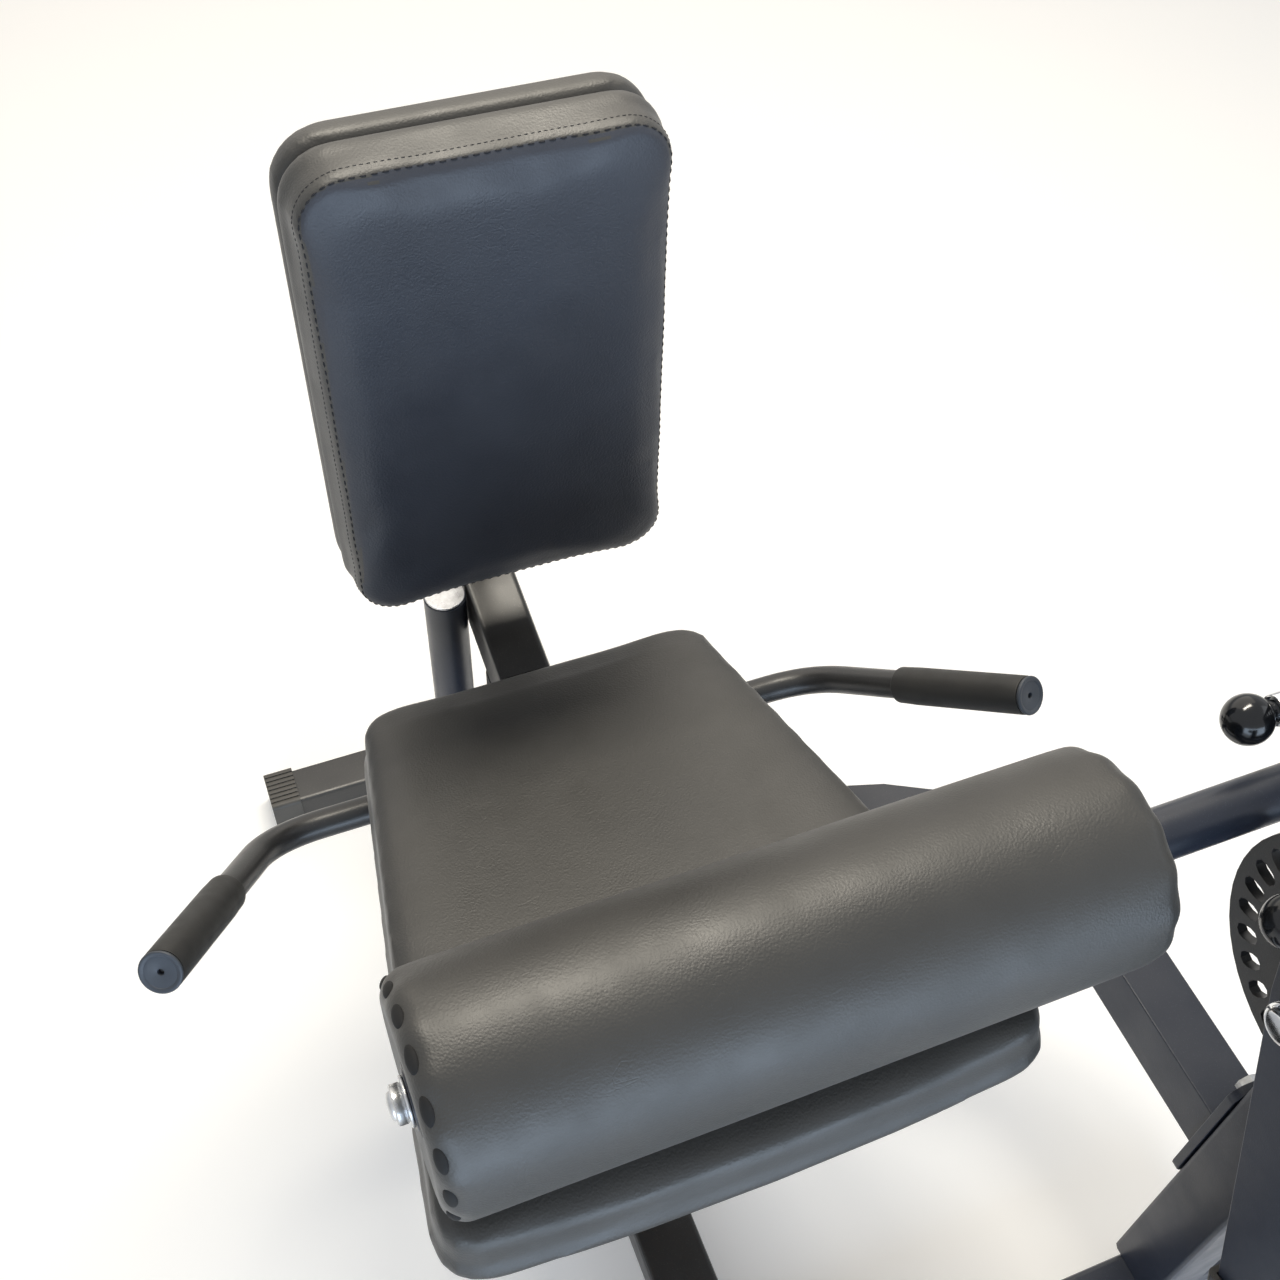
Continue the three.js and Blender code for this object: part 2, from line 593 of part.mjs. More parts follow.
function buildMechanismFrame(parent) {
  const centre = [postMiddle, postCentreY];
  const column = boxTube(post.width, post.depth, rail.corner, "z", baseTop + touch, axis.z, centre);
  const saddle = rod(housing.radius + touch, 0, 2 * post.x, axis.y, axis.z, 28);
  add(parent, "main_post", cut(column, saddle), paint);
  const sleeve = ring(housing.bore, housing.radius, post.x, housing.right, axis.y, axis.z, 28);
  add(parent, "pivot_housing", sleeve, paint);
  const bushes = [["bearing_inner", post.x], ["bearing_outer", housing.right - bearing.width]];
  for (const [name, x] of bushes) {
    const race = ring(axle.radius + run, housing.bore - run, x, x + bearing.width, axis.y, axis.z, 24);
    add(parent, name, race, steel);
  }

  // Side arm: from the flange back along Y, round a bend and across to the seat post.
  const height = arm.bottom + arm.height / 2;
  const flangeRear = post.rearY + touch + plate;
  const acrossY = seatPost.y;
  const path = new THREE.CurvePath();
  const at = (x, y) => new THREE.Vector3(x, y, height);
  const bendY = acrossY - arm.bendRadius;
  const bendX = postMiddle - arm.bendRadius;
  const bendSteps = 8;
  const onBend = (k) => {
    const angle = (k * Math.PI) / (2 * bendSteps);
    return at(bendX + arm.bendRadius * Math.cos(angle), bendY + arm.bendRadius * Math.sin(angle));
  };
  path.add(new THREE.LineCurve3(at(postMiddle, flangeRear + touch), at(postMiddle, bendY)));
  for (let i = 0; i < bendSteps; i++) path.add(new THREE.LineCurve3(onBend(i), onBend(i + 1)));
  path.add(new THREE.LineCurve3(at(bendX, acrossY), at(seatPost.width / 2 + touch, acrossY)));
  add(parent, "side_arm", armTube(path), paint);

  const flangeMiddle = (flange.bottom + flange.top) / 2;
  const outline = roundedRect(flange.width, flange.top - flange.bottom, flange.corner);
  const holes = [["upper", flange.top - flange.boltInset], ["lower", flange.bottom + flange.boltInset]];
  const across = (radius, from, to, z, segments) =>
    turnedX([[0, from], [radius, from], [radius, to], [0, to]], 0, 0, segments)
      .rotateZ(Math.PI / 2)
      .translate(postMiddle, 0, z);
  const through = holes.map(([, z]) => across(bolt.radius + touch, post.rearY - 1, flangeRear + 1, z, 16));
  const sheet = bar(outline, "y", post.rearY + touch, flangeRear, [postMiddle, flangeMiddle], 2);
  add(parent, "arm_flange", cut(sheet, ...through), paint);
  for (const [word, z] of holes) {
    const face = flangeRear + touch;
    const body = join(
      across(bolt.radius, post.rearY + touch, face + 1, z, 16),
      across(bolt.washerRadius, face, face + bolt.washer, z, 20),
      across(bolt.headRadius, face + bolt.washer - 0.5, face + bolt.washer + bolt.headLength, z, 6),
    );
    add(parent, "flange_bolt_" + word, body, zinc);
  }

  // Quadrant plate with the lock holes of the thigh arm, fixed on the housing.
  const [py, pz] = [thigh.pinY - axis.y, thigh.pinZ - axis.z];
  const reach = Math.hypot(py, pz);
  const start = Math.atan2(pz, py);
  const from = start + deg(quadrant.from);
  const to = start + deg(quadrant.pitch * (quadrant.holes - 1) - quadrant.from);
  const sector = new THREE.Shape();
  sector.absarc(0, 0, reach + quadrant.rim, from, to);
  sector.absarc(0, 0, quadrant.hubRadius - 6, to, from, true);
  const [x0, x1] = [quadrant.x, quadrant.x + quadrant.thickness];
  const lock = [];
  for (let i = 0; i < quadrant.holes; i++) {
    const a = start + deg(i * quadrant.pitch);
    lock.push(rod(pin.radius + run, x0 - 1, x1 + 1, reach * Math.cos(a), reach * Math.sin(a), 16));
  }
  const body = cut(
    join(bar(sector, "x", x0, x1, [0, 0], 5), rod(quadrant.hubRadius, x0, x1, 0, 0, 24)),
    rod(housing.radius + touch, x0 - 1, x1 + 1, 0, 0, 28),
    ...lock,
  );
  add(parent, "quadrant_plate", body.translate(0, axis.y, axis.z), paint);
}

// A square tube along a path in a level plane: the section is carried round and joined by mitres.
function armTube(path) {
  const stations = [path.curves[0].v1.clone(), ...path.curves.map((c) => c.v2.clone())];
  const sweep = (width, height, lead) => {
    const position = [];
    const index = [];
    stations.forEach((point, i) => {
      const before = stations[Math.max(i - 1, 0)];
      const after = stations[Math.min(i + 1, stations.length - 1)];
      const inDir = point.clone().sub(before).normalize();
      const outDir = after.clone().sub(point).normalize();
      const tangent = inDir.add(outDir).normalize();
      const half = width / 2 / Math.max(tangent.dot(outDir.lengthSq() ? outDir : tangent), 0.5);
      const side = new THREE.Vector3(-tangent.y, tangent.x, 0);
      const end = i === 0 ? -lead : i === stations.length - 1 ? lead : 0;
      for (const [s, z] of [[-1, -1], [1, -1], [1, 1], [-1, 1]]) {
        const corner = point.clone().addScaledVector(side, s * half).addScaledVector(tangent, end);
        position.push(corner.x, corner.y, corner.z + (z * height) / 2);
      }
    });
    const rings = stations.length;
    for (let i = 0; i + 1 < rings; i++) {
      for (let k = 0; k < 4; k++) {
        const [a, b] = [i * 4 + k, i * 4 + ((k + 1) % 4)];
        index.push(a, b, b + 4, a, b + 4, a + 4);
      }
    }
    const last = (rings - 1) * 4;
    index.push(0, 2, 1, 0, 3, 2, last, last + 1, last + 2, last, last + 2, last + 3);
    const geometry = new THREE.BufferGeometry();
    geometry.setAttribute("position", new THREE.BufferAttribute(new Float32Array(position), 3));
    geometry.setIndex(index);
    return geometry;
  };
  return cut(sweep(arm.width, arm.height, 0), sweep(arm.width - 2 * wall, arm.height - 2 * wall, 1));
}

// ---------------------------------------------------------------- thigh arm and roller
// A roller pad about an axis along X: a cylinder with soft shoulders and slightly domed ends.
function rollerPad(radius, bore, left, right, dome, y, z) {
  const profile = [[bore, left + dome * 0.3]];
  for (let i = 0; i <= 3; i++) {
    const a = (Math.PI / 2) * (i / 3);
    profile.push([radius - dome + dome * Math.sin(a), left + dome - dome * Math.cos(a)]);
  }
  for (let i = 0; i <= 3; i++) {
    const a = (Math.PI / 2) * (i / 3);
    profile.push([radius - dome + dome * Math.cos(a), right - dome + dome * Math.sin(a)]);
  }
  profile.push([bore, right - dome * 0.3], profile[0]);
  return turnedX(profile, y, z, 28);
}

function buildThighArm(parent) {
  const frame = frameAt(parent, axis.y, axis.z);
  const [sy, sz] = [thigh.shaftY - axis.y, thigh.shaftZ - axis.z];
  const [py, pz] = [thigh.pinY - axis.y, thigh.pinZ - axis.z];
  const [x0, x1] = [thigh.plateX, thigh.plateX + thigh.plateThickness];
  const limb = (a, b, radius) => bar(slot(a, b, radius), "x", x0, x1, [0, 0], 5);
  const hub = rod(thigh.hubRadius, x0, x1, 0, 0, 24);
  const body = cut(
    join(hub, limb([0, 0], [sy, sz], thigh.shaftBoss), limb([sy, sz], [py, pz], thigh.pinBoss)),
    rod(housing.radius + run, x0 - 1, x1 + 1, 0, 0, 28),
    rod(pin.radius + run, x0 - 1, x1 + 1, py, pz, 20),
  );
  add(frame, "thigh_arm_plate", body, paint);

  const threadEnd = thigh.left - thigh.threadLength;
  const shaft = join(
    rod(thigh.shaftRadius, thigh.left, x0 - touch, sy, sz, 32),
    rod(thigh.threadRadius, threadEnd, thigh.left + 1, sy, sz, 20),
  );
  add(frame, "thigh_shaft", shaft, paint);
  const { washerRadius, washer, hexRadius, hex, domeRadius, dome } = thigh.nut;
  const nutStart = thigh.left - touch - washer;
  const hexEnd = nutStart - hex;
  const crown = [[0, -1], [0.55, -0.9], [0.85, -0.55], [1, 0], [1, 1], [0, 1]];
  const nut = join(
    rod(washerRadius, nutStart - 1, thigh.left - touch, sy, sz, 28),
    rod(hexRadius, hexEnd, nutStart, sy, sz, 6),
    turnedX(crown.map(([r, x]) => [r * domeRadius, hexEnd + x * dome]), sy, sz, 20),
  );
  const thread = rod(thigh.threadRadius + touch, threadEnd - touch, thigh.left, sy, sz, 20);
  add(frame, "thigh_end_nut", cut(nut, thread), zinc);
  const collarStart = thigh.right + touch;
  const collarEnd = collarStart + thigh.collarWidth;
  const collar = ring(thigh.shaftRadius + touch, thigh.collarRadius, collarStart, collarEnd, sy, sz, 24);
  add(frame, "thigh_shaft_collar", collar, plastic);

  const barrelStart = thigh.knobX + pin.knobRadius + pin.knobGap;
  const barrel = ring(pin.radius + run, pin.barrelRadius, barrelStart, x0 - touch, py, pz, 24);
  add(frame, "thigh_pin_barrel", barrel, chrome);

  const coreBore = thigh.shaftRadius + run;
  const coreRadius = coreBore + thigh.coreWall;
  add(frame, "thigh_roller_core", ring(coreBore, coreRadius, thigh.left + 1, thigh.right - 1, sy, sz, 24), plastic);
  const bore = coreRadius + touch;
  add(frame, "thigh_roller_pad", rollerPad(thigh.radius, bore, thigh.left, thigh.right, thigh.dome, sy, sz), vinyl);

  const tip = quadrant.x + quadrant.thickness + pin.beyond;
  add(frame, "thigh_pin", pinWithKnob(pin.radius, tip, thigh.knobX, py, pz), ball);
}

// ---------------------------------------------------------------- drive: axle, disc and weight arm
function buildDrive(parent) {
  const frame = frameAt(parent, axis.y, axis.z);
  const nutStart = weight.x + weight.width + touch;
  const [left, right] = [lever.x - touch, nutStart + axleNut.width / 2];
  add(frame, "drive_axle", rod(axle.radius, left, right, 0, 0, 24), steel);
  const [capStart, capEnd] = [left - touch - hubCap.length, left - touch];
  const capProfile = [[0, 0], [0.7, 1], [1, 6]].map(([r, x]) => [r * hubCap.radius, capStart + x]);
  const hubCapBody = turnedX([...capProfile, [hubCap.radius, capEnd], [0, capEnd]], 0, 0, 28);
  add(frame, "axle_hub_cap", hubCapBody, chrome);

  const outline = new THREE.Shape().absarc(0, 0, disc.radius, 0, 2 * Math.PI);
  outline.holes.push(new THREE.Path().absarc(0, 0, axle.radius + touch, 0, 2 * Math.PI, true));
  const body = bar(outline, "x", disc.x, disc.x + disc.thickness, [0, 0], 24);
  const windows = [];
  const half = disc.slotLength / 2 - disc.slotWidth / 2;
  for (let i = 0; i < disc.slots; i++) {
    const a = deg(90 - lever.angle) + (2 * Math.PI * i) / disc.slots;
    const at = (r) => [r * Math.cos(a), r * Math.sin(a)];
    const outlineOf = slot(at(disc.slotRadius - half), at(disc.slotRadius + half), disc.slotWidth / 2);
    windows.push(bar(outlineOf, "x", disc.x - 1, disc.x + disc.thickness + 1, [0, 0], 2));
  }
  add(frame, "rom_disc", cut(body, ...windows), paint);

  // The weight arm hangs from the axle, with the plate horn near its lower end.
  const [x0, x1] = [weight.x, weight.x + weight.width];
  const limb = bar(slot([0, 0], [0, -weight.along], weight.depth / 2), "x", x0, x1, [0, 0], 5);
  const hub = rod(weight.hubRadius, x0, x1, 0, 0, 24);
  const bore = rod(axle.radius + touch, x0 - 1, x1 + 1, 0, 0, 24);
  add(frame, "weight_arm", cut(join(hub, limb), bore), paint);
  const hornStart = x1 + touch;
  const hornEnd = hornStart + weight.hornLength;
  const low = -weight.along;
  const horn = ring(weight.hornRadius - wall, weight.hornRadius, hornStart, hornEnd, 0, low, 24);
  const stop = ring(weight.hornRadius - 1, weight.stop, hornStart, hornStart + plate, 0, low, 24);
  add(frame, "weight_horn", join(horn, stop), chrome);
  const cap = join(
    rod(weight.hornRadius - wall - touch, hornEnd - plugDepth, hornEnd + 1, 0, low, 28),
    rod(weight.hornRadius, hornEnd + touch, hornEnd + touch + plugFace, 0, low, 28),
  );
  add(frame, "weight_horn_cap", cap, plastic);
  const nut = rod(axleNut.across / 2, nutStart, nutStart + axleNut.width, 0, 0, 6);
  add(frame, "axle_nut", cut(nut, rod(axle.radius + touch, nutStart - 1, right + touch, 0, 0, 24)), zinc);
}

// ---------------------------------------------------------------- leg lever and shin roller
function buildLever(parent) {
  const frame = frameAt(parent, axis.y, axis.z, -lever.angle);
  const [x0, x1] = [lever.x, lever.x + lever.width];
  const half = lever.depth / 2;
  const plungerRadius = disc.slotWidth / 2 - run;
  const outline = new THREE.Shape();
  outline.absarc(0, disc.slotRadius, lever.headRadius, 0, Math.PI);
  outline.lineTo(-half, 0);
  outline.lineTo(-half, -lever.length);
  outline.lineTo(half, -lever.length);
  outline.lineTo(half, 0);
  const hollow = block(x0 + wall, x1 - wall, wall - half, half - wall, -lever.length - 1, -lever.solidBelow);
  const body = cut(
    bar(outline, "x", x0, x1, [0, 0], 5),
    hollow,
    rod(axle.radius + run, x0 - 1, x1 + 1, 0, 0, 24),
    rod(plungerRadius + run, x0 - 1, x1 + 1, 0, disc.slotRadius, 20),
  );
  add(frame, "leg_lever", body, paint);
  const tube = { width: lever.width, height: lever.depth };
  const middle = (x0 + x1) / 2;
  add(frame, "leg_lever_plug", tubePlug(tube, "z", -lever.length, 1, [middle, 0]), plastic);

  const knobX = x0 - lever.knob;
  const barrelStart = knobX + pin.knobRadius + pin.knobGap;
  const barrel = ring(plungerRadius + run, pin.barrelRadius, barrelStart, x0 - touch, 0, disc.slotRadius, 24);
  add(frame, "lever_pin_barrel", barrel, chrome);
  const tip = disc.x + disc.thickness + pin.beyond;
  add(frame, "lever_pin", pinWithKnob(plungerRadius, tip, knobX, 0, disc.slotRadius), ball);

  // The sleeve that sets the roller's height, with the roller's axle welded to it.
  const bore = [lever.width + 2 * run, lever.depth + 2 * run];
  const outer = [bore[0] + 2 * shin.sleeveWall, bore[1] + 2 * shin.sleeveWall];
  const [low, high] = [-shin.along - shin.sleeveLength / 2, -shin.along + shin.sleeveLength / 2];
  const sleeve = cut(
    bar(roundedRect(...outer, 6), "z", low, high, [middle, 0], 3),
    block(middle - bore[0] / 2, middle + bore[0] / 2, -bore[1] / 2, bore[1] / 2, low - 1, high + 1),
  );
  const sleeveLeft = middle - outer[0] / 2;
  const studEnd = shin.left - 2;
  const threadEnd = studEnd - shin.threadLength;
  const stud = rod(shin.axleRadius, studEnd, sleeveLeft + 1, 0, -shin.along, 28);
  const thread = rod(shin.threadRadius, threadEnd, studEnd + 1, 0, -shin.along, 16);
  add(frame, "shin_carriage", join(sleeve, stud, thread), paint);
  const padBore = shin.axleRadius + run;
  const pad = rollerPad(shin.rollerRadius, padBore, shin.left, shin.right, shin.dome, 0, -shin.along);
  add(frame, "shin_roller_pad", pad, vinyl);
  const nutFace = studEnd - touch;
  const nutThread = rod(shin.threadRadius + touch, threadEnd - 2, nutFace + 1, 0, -shin.along, 16);
  const endNut = join(
    rod(17, nutFace - 3, nutFace, 0, -shin.along, 24),
    rod(10, nutFace - 12, nutFace - 2, 0, -shin.along, 6),
  );
  add(frame, "shin_end_nut", cut(endNut, nutThread), zinc);
}

// ---------------------------------------------------------------- assembly
buildBase(machine);
const seatFrame = buildSeat(machine);
const beamFrame = buildSupports(machine, seatFrame);
buildPeg(machine);
buildHandle(machine, -1, "left");
buildHandle(machine, 1, "right");
buildBack(machine, beamFrame);
buildMechanismFrame(machine);
buildThighArm(machine);
buildDrive(machine);
buildLever(machine);

machine.updateMatrixWorld(true);
const box = new THREE.Box3().setFromObject(machine, true);
machine.position.set(-(box.min.x + box.max.x) / 2, -(box.min.y + box.max.y) / 2, -box.min.z);

export default machine;
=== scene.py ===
# %% [markdown]
# # A seated leg extension and curl machine
# Steel tubes, vinyl cushions and a slotted steel disc. The tubes, plates and joints arrive as a
# finished frame in metres. This notebook gives them their surfaces, and makes the soft parts and
# the round parts that need a finer mesh than the frame has.

# %% Load the frame
import json
import math
import bmesh
import bpy
from mathutils import Matrix, Vector
from mathutils.bvhtree import BVHTree


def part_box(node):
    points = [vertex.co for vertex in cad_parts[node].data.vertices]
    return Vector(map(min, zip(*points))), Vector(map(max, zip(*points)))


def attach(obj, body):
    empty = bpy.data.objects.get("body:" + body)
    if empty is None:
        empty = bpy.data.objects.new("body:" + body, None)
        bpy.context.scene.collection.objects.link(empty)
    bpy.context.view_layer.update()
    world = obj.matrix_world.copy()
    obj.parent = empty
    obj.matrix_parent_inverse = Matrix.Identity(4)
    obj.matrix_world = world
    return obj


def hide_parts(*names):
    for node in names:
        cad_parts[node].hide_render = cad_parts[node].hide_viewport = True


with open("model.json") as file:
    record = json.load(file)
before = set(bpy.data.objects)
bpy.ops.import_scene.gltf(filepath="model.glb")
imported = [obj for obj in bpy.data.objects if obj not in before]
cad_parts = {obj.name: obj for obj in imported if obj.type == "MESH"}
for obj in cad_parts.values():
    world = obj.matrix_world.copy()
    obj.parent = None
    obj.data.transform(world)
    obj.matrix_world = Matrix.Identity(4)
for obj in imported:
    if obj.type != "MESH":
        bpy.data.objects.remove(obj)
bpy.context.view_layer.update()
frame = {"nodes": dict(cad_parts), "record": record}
scene = bpy.context.scene
scene.view_settings.view_transform = "Standard"

# %% [markdown]
# ## Where things are
# The designer's drawing has x = 0 in the middle of the seat and y = 0 a little in front of its
# rear edge, in millimetres. The frame was moved so that its origin is under the middle of the
# whole machine. Two pieces tell how far: the seat's middle and the front cross tube's middle.
# With that, every size from the drawing can be written as it was drawn.

# %% Drawing places to scene places
MM = 0.001
FRONT_TUBE_Y = -468
MAIN_AXLE = (-450, 618)
THIGH_SHAFT = (-314, 661)


def middle(node):
    low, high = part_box(node)
    return (Vector(low) + Vector(high)) / 2


DRAWING = Vector((middle("seat_pad").x, middle("front_cross_tube").y - FRONT_TUBE_Y * MM, 0))


def place(x, y, z):
    """A point of the drawing, in millimetres, as a point of the scene, in metres."""
    return DRAWING + Vector((x, y, z)) * MM


def tilted(y, z, degrees):
    """The drawing's own small frames: at (0, y, z), tipped about X."""
    return Matrix.Translation(place(0, y, z)) @ Matrix.Rotation(math.radians(degrees), 4, "X")


SEAT_FRAME = tilted(106, 493.7, -10.5)
BACK_FRAME = tilted(128.6, 572.5, -2.15)
BEAM_FRAME = tilted(118.3, 456.4, 13)
LEVER_FRAME = tilted(*MAIN_AXLE, -19.6)
print("drawing origin", tuple(round(v, 4) for v in DRAWING))

# %% [markdown]
# ## Camera
# A phone held at head height by someone standing in front, a little to the left, and looking
# down at the seat. Three turns describe it: yaw, pitch down and a small roll. The matrix is
# built from the camera's right, up and back directions, so the order of turns can't go wrong.

# %% Camera
YAW, PITCH, ROLL = (math.radians(v) for v in (23.828, 51.048, 3.0076))
LENS = 42.51
EYE = place(-241.8, -681.0, 1536.7)
forward = Vector((math.cos(PITCH) * math.sin(YAW), math.cos(PITCH) * math.cos(YAW), -math.sin(PITCH)))
level = Vector((math.cos(YAW), -math.sin(YAW), 0))
upright = level.cross(forward)
right = math.cos(ROLL) * level + math.sin(ROLL) * upright
above = math.cos(ROLL) * upright - math.sin(ROLL) * level
turn = Matrix((right, above, -forward)).transposed().to_4x4()
camera = bpy.data.objects.new("camera", bpy.data.cameras.new("camera"))
camera.data.lens = LENS
camera.matrix_world = Matrix.Translation(EYE) @ turn
scene.collection.objects.link(camera)
scene.camera = camera
print("camera at", tuple(round(v, 3) for v in EYE), "with a lens of", LENS, "mm")

# %% [markdown]
# ## Room
# A pale floor and four soft lamps. Dark vinyl shows mostly what it mirrors, so the lamps' places
# matter more than their strength. A warm ceiling panel behind the back rest lights the upward
# faces and lets the back rest shade the seat's rear. A warm wall behind gives the long
# highlights, a cool window in front tints the faces that look at the viewer, and a weak lamp at
# the side fills the lever's shadows. Floor and sky are whiter where they are seen than in the
# light they give, so the background is pale and the machine isn't washed out.

# %% Floor, world and lamps
FLOOR_REACH = 30
FLOOR_DROP = 0.0005
FLOOR_GLOW = 0.2
SKY_LIGHT, SKY_SEEN = 0.2, 0.72


def plain_material(name, colour, roughness):
    made = bpy.data.materials.new(name)
    made.use_nodes = True
    shader = made.node_tree.nodes["Principled BSDF"]
    shader.inputs["Base Color"].default_value = (*colour, 1)
    shader.inputs["Roughness"].default_value = roughness
    return made


def new_piece(name, mesh_maker):
    """An object at the origin, made from a bmesh."""
    mesh = bpy.data.meshes.new(name)
    mesh_maker.to_mesh(mesh)
    mesh_maker.free()
    piece = bpy.data.objects.new(name, mesh)
    scene.collection.objects.link(piece)
    return piece


bm = bmesh.new()
bmesh.ops.create_grid(bm, x_segments=1, y_segments=1, size=FLOOR_REACH)
floor = new_piece("floor", bm)
floor.data.materials.append(plain_material("floor_paint", (0.9, 0.9, 0.9), 0.9))
floor.location.z = -FLOOR_DROP


def seen_amount(tree, unseen, seen):
    """One strength for rays that light other things, another for rays that show the surface itself:
    from the camera, or by way of a mirror or glass."""
    path = tree.nodes.new("ShaderNodeLightPath")
    shown = path.outputs["Is Camera Ray"]
    for other in ("Is Glossy Ray", "Is Transmission Ray"):
        either = tree.nodes.new("ShaderNodeMath")
        either.operation = "MAXIMUM"
        tree.links.new(shown, either.inputs[0])
        tree.links.new(path.outputs[other], either.inputs[1])
        shown = either.outputs[0]
    chosen = tree.nodes.new("ShaderNodeMapRange")
    chosen.inputs["To Min"].default_value = unseen
    chosen.inputs["To Max"].default_value = seen
    tree.links.new(shown, chosen.inputs["Value"])
    return chosen.outputs[0]


# Part of the floor's white is its own, where it is seen. It lights nothing.
tree = floor.data.materials[0].node_tree
glow = tree.nodes.new("ShaderNodeEmission")
mixed = tree.nodes.new("ShaderNodeAddShader")
tree.links.new(seen_amount(tree, 0.0, FLOOR_GLOW), glow.inputs["Strength"])
tree.links.new(tree.nodes["Principled BSDF"].outputs[0], mixed.inputs[0])
tree.links.new(glow.outputs[0], mixed.inputs[1])
tree.links.new(mixed.outputs[0], tree.nodes["Material Output"].inputs["Surface"])

world = bpy.data.worlds.new("studio")
world.use_nodes = True
background = world.node_tree.nodes["Background"]
background.inputs["Color"].default_value = (0.95, 0.97, 1.0, 1)
world_strength = seen_amount(world.node_tree, SKY_LIGHT, SKY_SEEN)
world.node_tree.links.new(world_strength, background.inputs["Strength"])
scene.world = world


def soft_lamp(name, spot, target, size, power, colour):
    lamp = bpy.data.objects.new(name, bpy.data.lights.new(name, "AREA"))
    lamp.data.shape = "RECTANGLE"
    lamp.data.size, lamp.data.size_y = size
    lamp.data.energy = power
    lamp.data.color = colour
    lamp.location = spot
    lamp.rotation_euler = (Vector(target) - Vector(spot)).to_track_quat("-Z", "Y").to_euler()
    scene.collection.objects.link(lamp)


soft_lamp("ceiling_panel", (0.0, 0.92, 2.9), (0.0, 0.1, 0.5), (1.5, 0.35), 62, (1.0, 0.93, 0.8))
soft_lamp("back_wall", (0.4, 2.7, 2.3), (0, 0, 0.6), (4.2, 3.0), 36, (1.0, 0.9, 0.76))
soft_lamp("window", (-0.4, -2.9, 0.7), (0, 0, 0.5), (4.6, 1.4), 96, (0.64, 0.8, 1.0))
soft_lamp("side_fill", (3.0, -0.6, 2.2), (0, 0, 0.5), (2.0, 2.0), 12, (0.9, 0.95, 1.0))
print([lamp.name for lamp in bpy.data.lights], "light the room")

# %% [markdown]
# ## Finishes
# Each finish starts from one base shader and adds what its surface really shows. Patterns read
# Object coordinates: every piece sits at the origin, so one unit of pattern is one metre on the
# machine, and a pattern runs on from piece to piece at one scale.

# %% Node helpers
class Finish:
    """A material under construction: its node tree and its shader."""

    def __init__(self, name, colour, roughness, metallic=0.0, **sockets):
        self.material = plain_material(name, colour, roughness)
        self.tree = self.material.node_tree
        self.shader = self.tree.nodes["Principled BSDF"]
        self.shader.inputs["Metallic"].default_value = metallic
        for socket, value in sockets.items():
            self.shader.inputs[socket.replace("_", " ")].default_value = value
        self.place = self.node("ShaderNodeTexCoord").outputs["Object"]
        self.height = None

    def node(self, kind, **settings):
        made = self.tree.nodes.new(kind)
        for key, value in settings.items():
            setattr(made, key, value)
        return made

    def link(self, source, socket):
        self.tree.links.new(source, socket)

    def noise(self, scale, detail=2.0, rough=0.5, stretch=None):
        made = self.node("ShaderNodeTexNoise")
        made.inputs["Scale"].default_value = scale
        made.inputs["Detail"].default_value = detail
        made.inputs["Roughness"].default_value = rough
        self.link(self.stretched(stretch), made.inputs["Vector"])
        return made.outputs["Fac"]

    def cells(self, scale, feature="F1"):
        made = self.node("ShaderNodeTexVoronoi", feature=feature)
        made.inputs["Scale"].default_value = scale
        self.link(self.place, made.inputs["Vector"])
        return made.outputs["Distance"]

    def stretched(self, stretch):
        if stretch is None:
            return self.place
        made = self.node("ShaderNodeMapping")
        made.inputs["Scale"].default_value = stretch
        self.link(self.place, made.inputs["Vector"])
        return made.outputs["Vector"]

    def ranged(self, value, low, high, to_low, to_high):
        made = self.node("ShaderNodeMapRange")
        for index, number in enumerate((low, high, to_low, to_high), start=1):
            made.inputs[index].default_value = number
        self.link(value, made.inputs[0])
        return made.outputs[0]

    def colours(self, value, *stops):
        made = self.node("ShaderNodeValToRGB")
        ramp = made.color_ramp
        while len(ramp.elements) < len(stops):
            ramp.elements.new(0.5)
        for element, (position, colour) in zip(ramp.elements, stops):
            element.position = position
            element.color = (*colour, 1)
        self.link(value, made.inputs["Fac"])
        self.link(made.outputs["Color"], self.shader.inputs["Base Color"])

    def roughness(self, value, low, high):
        self.link(self.ranged(value, 0.3, 0.7, low, high), self.shader.inputs["Roughness"])

    def bump(self, height, depth, strength):
        """Adds a relief of the given depth, in metres, on top of the reliefs before it."""
        made = self.node("ShaderNodeBump")
        made.inputs["Distance"].default_value = depth
        made.inputs["Strength"].default_value = strength
        self.link(height, made.inputs["Height"])
        if self.height is not None:
            self.link(self.height, made.inputs["Normal"])
        self.height = made.outputs["Normal"]
        self.link(self.height, self.shader.inputs["Normal"])


# %% [markdown]
# ### Vinyl
# Upholstery vinyl is a foamed plastic skin pressed with a leather grain: small pebbles about a
# millimetre across, shallow valleys between them, and here and there a longer crease. Cells
# with a smooth distance give the pebbles and the distance to a cell's edge gives the creases,
# shown only where a wide noise lets them through. Handling has polished some patches.

